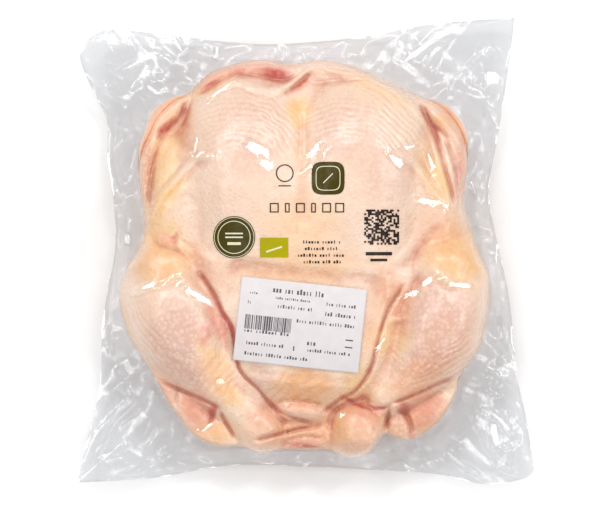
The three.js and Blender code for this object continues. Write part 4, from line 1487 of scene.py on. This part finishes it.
def add(tree, kind, inputs=None, **settings):
    """A node with its settings, and its inputs by name or number, each a value or another node's output."""
    node = tree.nodes.new(kind)
    for name, value in settings.items():
        setattr(node, name, value)
    for name, value in (inputs or {}).items():
        if isinstance(value, bpy.types.NodeSocket):
            tree.links.new(value, node.inputs[name])
        else:
            node.inputs[name].default_value = value
    return node


def maths(tree, operation, a, b=0.0):
    return add(tree, "ShaderNodeMath", {0: a, 1: b}, operation=operation).outputs[0]


def scaled(tree, value, share, plus=None):
    """A value times a share, and plus another one."""
    product = maths(tree, "MULTIPLY", value, share)
    return product if plus is None else maths(tree, "ADD", product, plus)


def clamped(tree, value):
    return add(tree, "ShaderNodeClamp", {"Value": value}).outputs[0]


def mask_on(tree, name):
    """A mask that the mesh keeps on its points."""
    return add(tree, "ShaderNodeAttribute", attribute_name=name).outputs["Fac"]


def noise(tree, place, scale, detail):
    return add(tree, "ShaderNodeTexNoise", {"Vector": place, "Scale": scale, "Detail": detail}).outputs["Fac"]


def bumped(tree, shader, height, strength, distance):
    """A bump that feeds the shader's Normal."""
    bump = add(tree, "ShaderNodeBump", {"Height": height, "Strength": strength, "Distance": distance})
    tree.links.new(bump.outputs[0], shader.inputs["Normal"])
    return bump.outputs[0]


def mix_colours(tree, share, under, over):
    return add(tree, "ShaderNodeMix", {0: share, 6: under, 7: over}, data_type="RGBA").outputs[2]


def ramp(tree, value, low, high):
    """The value's way from low to high as 0 to 1, smoothed at both ends."""
    node = add(tree, "ShaderNodeMapRange", {"Value": value, "From Min": low, "From Max": high},
               interpolation_type="SMOOTHSTEP")
    return node.outputs["Result"]


def new_material(name):
    material = bpy.data.materials.new(name)
    material.use_nodes = True
    tree = material.node_tree
    place = add(tree, "ShaderNodeTexCoord").outputs["Object"]
    return material, tree, tree.nodes["Principled BSDF"], place


print("a middle grey as the shader's light:", round(linear(128, 128, 128)[0], 3))


# %% Group helpers
def use_group(tree, group, inputs):
    return add(tree, "ShaderNodeGroup", inputs, node_tree=group).outputs[0]


def new_group(name, values, output):
    """A group with a place and named values as its inputs, its real scale, and where its result goes."""
    group = bpy.data.node_groups.new(name, "ShaderNodeTree")
    group.interface.new_socket("Place", in_out="INPUT", socket_type="NodeSocketVector")
    for socket_name, value in values.items():
        socket = group.interface.new_socket(socket_name, in_out="INPUT", socket_type="NodeSocketFloat")
        socket.default_value = value
    group.interface.new_socket(output, in_out="OUTPUT", socket_type="NodeSocketFloat")
    given, result = group.nodes.new("NodeGroupInput").outputs, group.nodes.new("NodeGroupOutput").inputs[0]
    return group, given, maths(group, "DIVIDE", 1000.0, given["Size mm"]), result


# %% Groups for unevenness and crinkle
FINER_CRINKLE, FINER_HEIGHT = 2.7, 0.4


def make_mottle():
    group, given, scale, result = new_group("soft_mottle", {"Size mm": 10.0, "Contrast": 1.0}, "Mask")
    centred = maths(group, "SUBTRACT", noise(group, given["Place"], scale, 3.0), 0.5)
    group.links.new(clamped(group, scaled(group, centred, given["Contrast"], 0.5)), result)
    return group


def make_crinkle():
    """Sharp little ridges, where noise crosses its own middle, at two sizes."""
    group, given, scale, result = new_group("film_crinkle", {"Size mm": 6.0}, "Height")

    def ridge(size, detail):
        bend = maths(group, "SUBTRACT", noise(group, given["Place"], size, detail), 0.5)
        return maths(group, "ABSOLUTE", bend)

    finer = ridge(scaled(group, scale, FINER_CRINKLE), 1.0)
    group.links.new(scaled(group, finer, FINER_HEIGHT, ridge(scale, 2.0)), result)
    return group


MOTTLE = make_mottle()
CRINKLE = make_crinkle()
print("node groups:", [group.name for group in bpy.data.node_groups])

# %% [markdown]
# ## Raw skin
#
# Raw chicken skin is a wet, slightly see-through layer over pale meat, with a small bump for every feather
# that was plucked. Its colour is mixed from the masks on the mesh. Noise breaks their edges up, the follicles
# are round cells about 2 mm apart, and light goes a little way into it. The wet shine is left to the film,
# which clings to it all over, so the skin itself is nearly matt.

# %% Skin material
SKIN_COLOURS = {
    "base": linear(254, 229, 204),
    "peach": linear(250, 214, 178),
    "lilac": linear(245, 210, 198),
    "fat": linear(252, 206, 136),
    "warm": linear(240, 176, 126),
    "mauve": linear(228, 184, 168),
    "meat": linear(230, 150, 122),
    "blood": linear(196, 58, 50),
    "pale": linear(252, 228, 196),
    # Painted light: the pale colour laid on the steep sides near the outline.
    "side": linear(250, 218, 192),
    # Painted shade: wide hollows get a darker orange-brown.
    "valley_shade": linear(220, 148, 104),
    # Blood with painted shade: creases get a dark red-brown.
    "crease_blood_and_shade": linear(192, 100, 68),
}
# How strongly each mask mixes its colour in, in the order in which they are laid
# The side mask is painted light, the valley mask painted shade, and the crease mask blood with painted shade.
MASK_SHARES = {"mauve": 0.85, "fat": 0.85, "warm": 0.75, "meat": 0.85, "pale": 0.8, "side": 0.45,
               "valley_shade": 0.45, "blood": 0.95, "crease_blood_and_shade": 0.65}
# Wrinkle grooves: a darker pink, partly the skin's own tone and partly painted shade.
WRINKLE_GROOVE_TONE_AND_SHADE, WRINKLE_SHARE = linear(220, 160, 146), 0.42
FOLLICLE_GAP = 2.2
FOLLICLE_COLOUR, FOLLICLE_SHARE = linear(255, 238, 214), 0.5
NET_COLOUR = linear(206, 146, 128)
PORE_COLOUR, PORE_SHARE = linear(214, 150, 122), 0.5
GRAIN_SIZE = 1.1
SKIN_VALUES = {"Roughness": 0.5, "Subsurface Weight": 0.1, "Subsurface Radius": (1.0, 0.45, 0.25),
               "Subsurface Scale": 0.002}


def skin_base(tree, place, large):
    """Peach over the pale base in soft patches, and a little lilac in small ones."""
    fine = use_group(tree, MOTTLE, {"Place": place, "Size mm": 2.4, "Contrast": 3.2})
    colour = mix_colours(tree, scaled(tree, large, 0.6), SKIN_COLOURS["base"], SKIN_COLOURS["peach"])
    return mix_colours(tree, scaled(tree, fine, 0.45), colour, SKIN_COLOURS["lilac"])


def skin_follicles(tree, place, large, grain_share, colour):
    """Pale follicles in a darker net, most in the mauve skin of the legs, and pores in their middles."""
    distance = add(tree, "ShaderNodeTexVoronoi", {"Vector": place, "Scale": 1000 / FOLLICLE_GAP,
                                                  "Randomness": 0.85}).outputs["Distance"]
    follicle = ramp(tree, distance, 0.5, 0.1)
    pale = scaled(tree, follicle, scaled(tree, grain_share, FOLLICLE_SHARE))
    colour = mix_colours(tree, pale, colour, FOLLICLE_COLOUR)
    net = scaled(tree, ramp(tree, distance, 0.35, 0.62), grain_share)
    colour = mix_colours(tree, net, colour, NET_COLOUR)
    pore = scaled(tree, scaled(tree, ramp(tree, distance, 0.2, 0.08), large), PORE_SHARE)
    return mix_colours(tree, pore, colour, PORE_COLOUR), follicle


def make_skin_material():
    material, tree, shader, place = new_material("raw_skin")
    large = use_group(tree, MOTTLE, {"Place": place, "Size mm": 16.0, "Contrast": 2.2})
    small = use_group(tree, MOTTLE, {"Place": place, "Size mm": 3.5, "Contrast": 2.0})
    colour = skin_base(tree, place, large)
    ragged = scaled(tree, small, 0.7, 0.65)
    masks = {name: mask_on(tree, name) for name in MASK_SHARES}
    for name, share in MASK_SHARES.items():
        strength = clamped(tree, scaled(tree, scaled(tree, masks[name], ragged), share))
        colour = mix_colours(tree, strength, colour, SKIN_COLOURS[name])
    # Partly painted shade: the low rows of the wrinkles get the darker groove colour.
    rows = scaled(tree, ramp(tree, mask_on(tree, "wrinkle"), 0.62, 0.15), WRINKLE_SHARE)
    colour = mix_colours(tree, rows, colour, WRINKLE_GROOVE_TONE_AND_SHADE)
    grain_share = scaled(tree, masks["mauve"], 0.4, 0.04)
    colour, follicle = skin_follicles(tree, place, large, grain_share, colour)
    tree.links.new(colour, shader.inputs["Base Color"])
    for name, value in SKIN_VALUES.items():
        shader.inputs[name].default_value = value
    height = scaled(tree, follicle, 0.6, noise(tree, place, 1000 / GRAIN_SIZE, 3.0))
    bumped(tree, shader, height, 0.6, 0.0005)
    print(material.name, "nodes:", len(tree.nodes))
    return material


bird.data.materials.append(make_skin_material())

# %% [markdown]
# ## Clear film
#
# Film is too thin to bend light, so glass would be wrong, and slow. It is see-through as it is, a little
# grey, with a mirror layer on top that is weak face on and strong at a slant. The welded rim is thicker and
# mirrors more. Where the film clings to wet skin it takes on the skin's grain, so its shine is weaker and
# wider there. In the margins two films and the air between them make it a little darker.

# %% Film material
OVER_SKIN_TINT = (0.965, 0.965, 0.965, 1)
MARGIN_TINT = (0.913, 0.917, 0.923, 1)
MIRROR_COLOUR = (0.96, 0.96, 0.97, 1)
FILM_ROUGHNESS, SMEAR_ROUGHNESS, CLINGING_ROUGHNESS, MARGIN_ROUGHNESS = 0.07, 0.1, 0.2, 0.09
FACE_ON_SHINE, SLANT_SHINE, SLANT_POWER, RIM_SHINE, DULLING = 0.08, 0.9, 4.0, 0.2, 0.025


def make_film_material():
    material, tree, shader, place = new_material("clear_film")
    shader.inputs["Base Color"].default_value = MIRROR_COLOUR
    shader.inputs["Metallic"].default_value = 1.0
    margin, rim, clinging = (mask_on(tree, name) for name in ("margin", "rim", "clinging"))
    smear = use_group(tree, MOTTLE, {"Place": place, "Size mm": 9.0, "Contrast": 1.6})
    roughness = scaled(tree, smear, SMEAR_ROUGHNESS, FILM_ROUGHNESS)
    roughness = scaled(tree, clinging, CLINGING_ROUGHNESS, roughness)
    roughness = scaled(tree, margin, MARGIN_ROUGHNESS, roughness)
    tree.links.new(roughness, shader.inputs["Roughness"])
    crinkle = use_group(tree, CRINKLE, {"Place": place, "Size mm": 6.0})
    normal = bumped(tree, shader, crinkle, 0.3, 0.0004)
    slant = add(tree, "ShaderNodeLayerWeight", {"Blend": 0.5, "Normal": normal}).outputs["Facing"]
    dull = scaled(tree, maths(tree, "ADD", clinging, margin), DULLING)
    shine = scaled(tree, maths(tree, "POWER", slant, SLANT_POWER), SLANT_SHINE,
                   maths(tree, "SUBTRACT", FACE_ON_SHINE, dull))
    shine = clamped(tree, scaled(tree, rim, RIM_SHINE, shine))
    tint = mix_colours(tree, margin, OVER_SKIN_TINT, MARGIN_TINT)
    clear = add(tree, "ShaderNodeBsdfTransparent", {"Color": tint})
    mix = add(tree, "ShaderNodeMixShader", {0: shine, 1: clear.outputs[0], 2: shader.outputs[0]})
    tree.links.new(mix.outputs[0], tree.nodes["Material Output"].inputs["Surface"])
    print(material.name, "nodes:", len(tree.nodes))
    return material


film_material = make_film_material()
for sheet_piece in (film_front, film_back):
    sheet_piece.data.materials.append(film_material)

# %% [markdown]
# ## Paper and ink
#
# Label paper is white with a hint of lilac and a light coating, so it is nearly matt with soft unevenness.
# Ink on film is a thin coat of slightly uneven thickness, so two near colours are mixed. Ink on the label is
# a thermal print, a little grey. Both inks take the crinkle of the sheet they lie on.

# %% Paper and ink materials
PAPER_COLOURS = linear(214, 207, 209), linear(224, 218, 218)
FILM_INK_ROUGHNESS, LABEL_INK_ROUGHNESS = 0.3, 0.5


def make_paper_material():
    material, tree, shader, place = new_material("label_paper")
    uneven = use_group(tree, MOTTLE, {"Place": place, "Size mm": 5.0, "Contrast": 1.5})
    tree.links.new(mix_colours(tree, uneven, *PAPER_COLOURS), shader.inputs["Base Color"])
    tree.links.new(scaled(tree, uneven, 0.12, 0.38), shader.inputs["Roughness"])
    crinkle = use_group(tree, CRINKLE, {"Place": place, "Size mm": 8.0})
    fibres = noise(tree, place, 2500.0, 2.0)
    bumped(tree, shader, scaled(tree, fibres, 0.06, crinkle), 0.5, 0.0004)
    return material


def make_ink_material(name, colour, paler, roughness):
    material, tree, shader, place = new_material(name)
    uneven = use_group(tree, MOTTLE, {"Place": place, "Size mm": 1.6, "Contrast": 2.5})
    tree.links.new(mix_colours(tree, scaled(tree, uneven, 0.5), colour, paler), shader.inputs["Base Color"])
    shader.inputs["Roughness"].default_value = roughness
    shader.inputs["Specular IOR Level"].default_value = 0.2
    bumped(tree, shader, use_group(tree, CRINKLE, {"Place": place, "Size mm": 6.0}), 0.5, 0.0005)
    return material


INKS = {
    "olive": (linear(64, 54, 4), linear(78, 68, 10)),
    "lime": (linear(166, 156, 2), linear(178, 168, 8)),
    "dark": (linear(34, 20, 14), linear(60, 42, 34)),
    "light": (linear(226, 222, 186), linear(236, 230, 200)),
}
LABEL_INK = linear(84, 78, 82), linear(118, 112, 116)
label_piece.data.materials.append(make_paper_material())
for ink_name, ink_colours in INKS.items():
    film_print[ink_name].data.materials.append(
        make_ink_material("ink_" + ink_name, *ink_colours, FILM_INK_ROUGHNESS))
label_ink.data.materials.append(make_ink_material("ink_label", *LABEL_INK, LABEL_INK_ROUGHNESS))
print("materials:", sorted(material.name for material in bpy.data.materials))

# %% [markdown]
# ## Tie the pieces to the imported model
#
# Every piece rides on the one body of the pack. The bird and its films stand for the imported solid of bag and
# bird, and the fine sheet stands for the imported label.

# %% Ride and replace
for piece in [bird, film_front, film_back, label_piece, label_ink, *film_print.values()]:
    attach(piece, "root")
for piece in (bird, film_front, film_back):
    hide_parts("bagged_chicken")
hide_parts("paper_label")
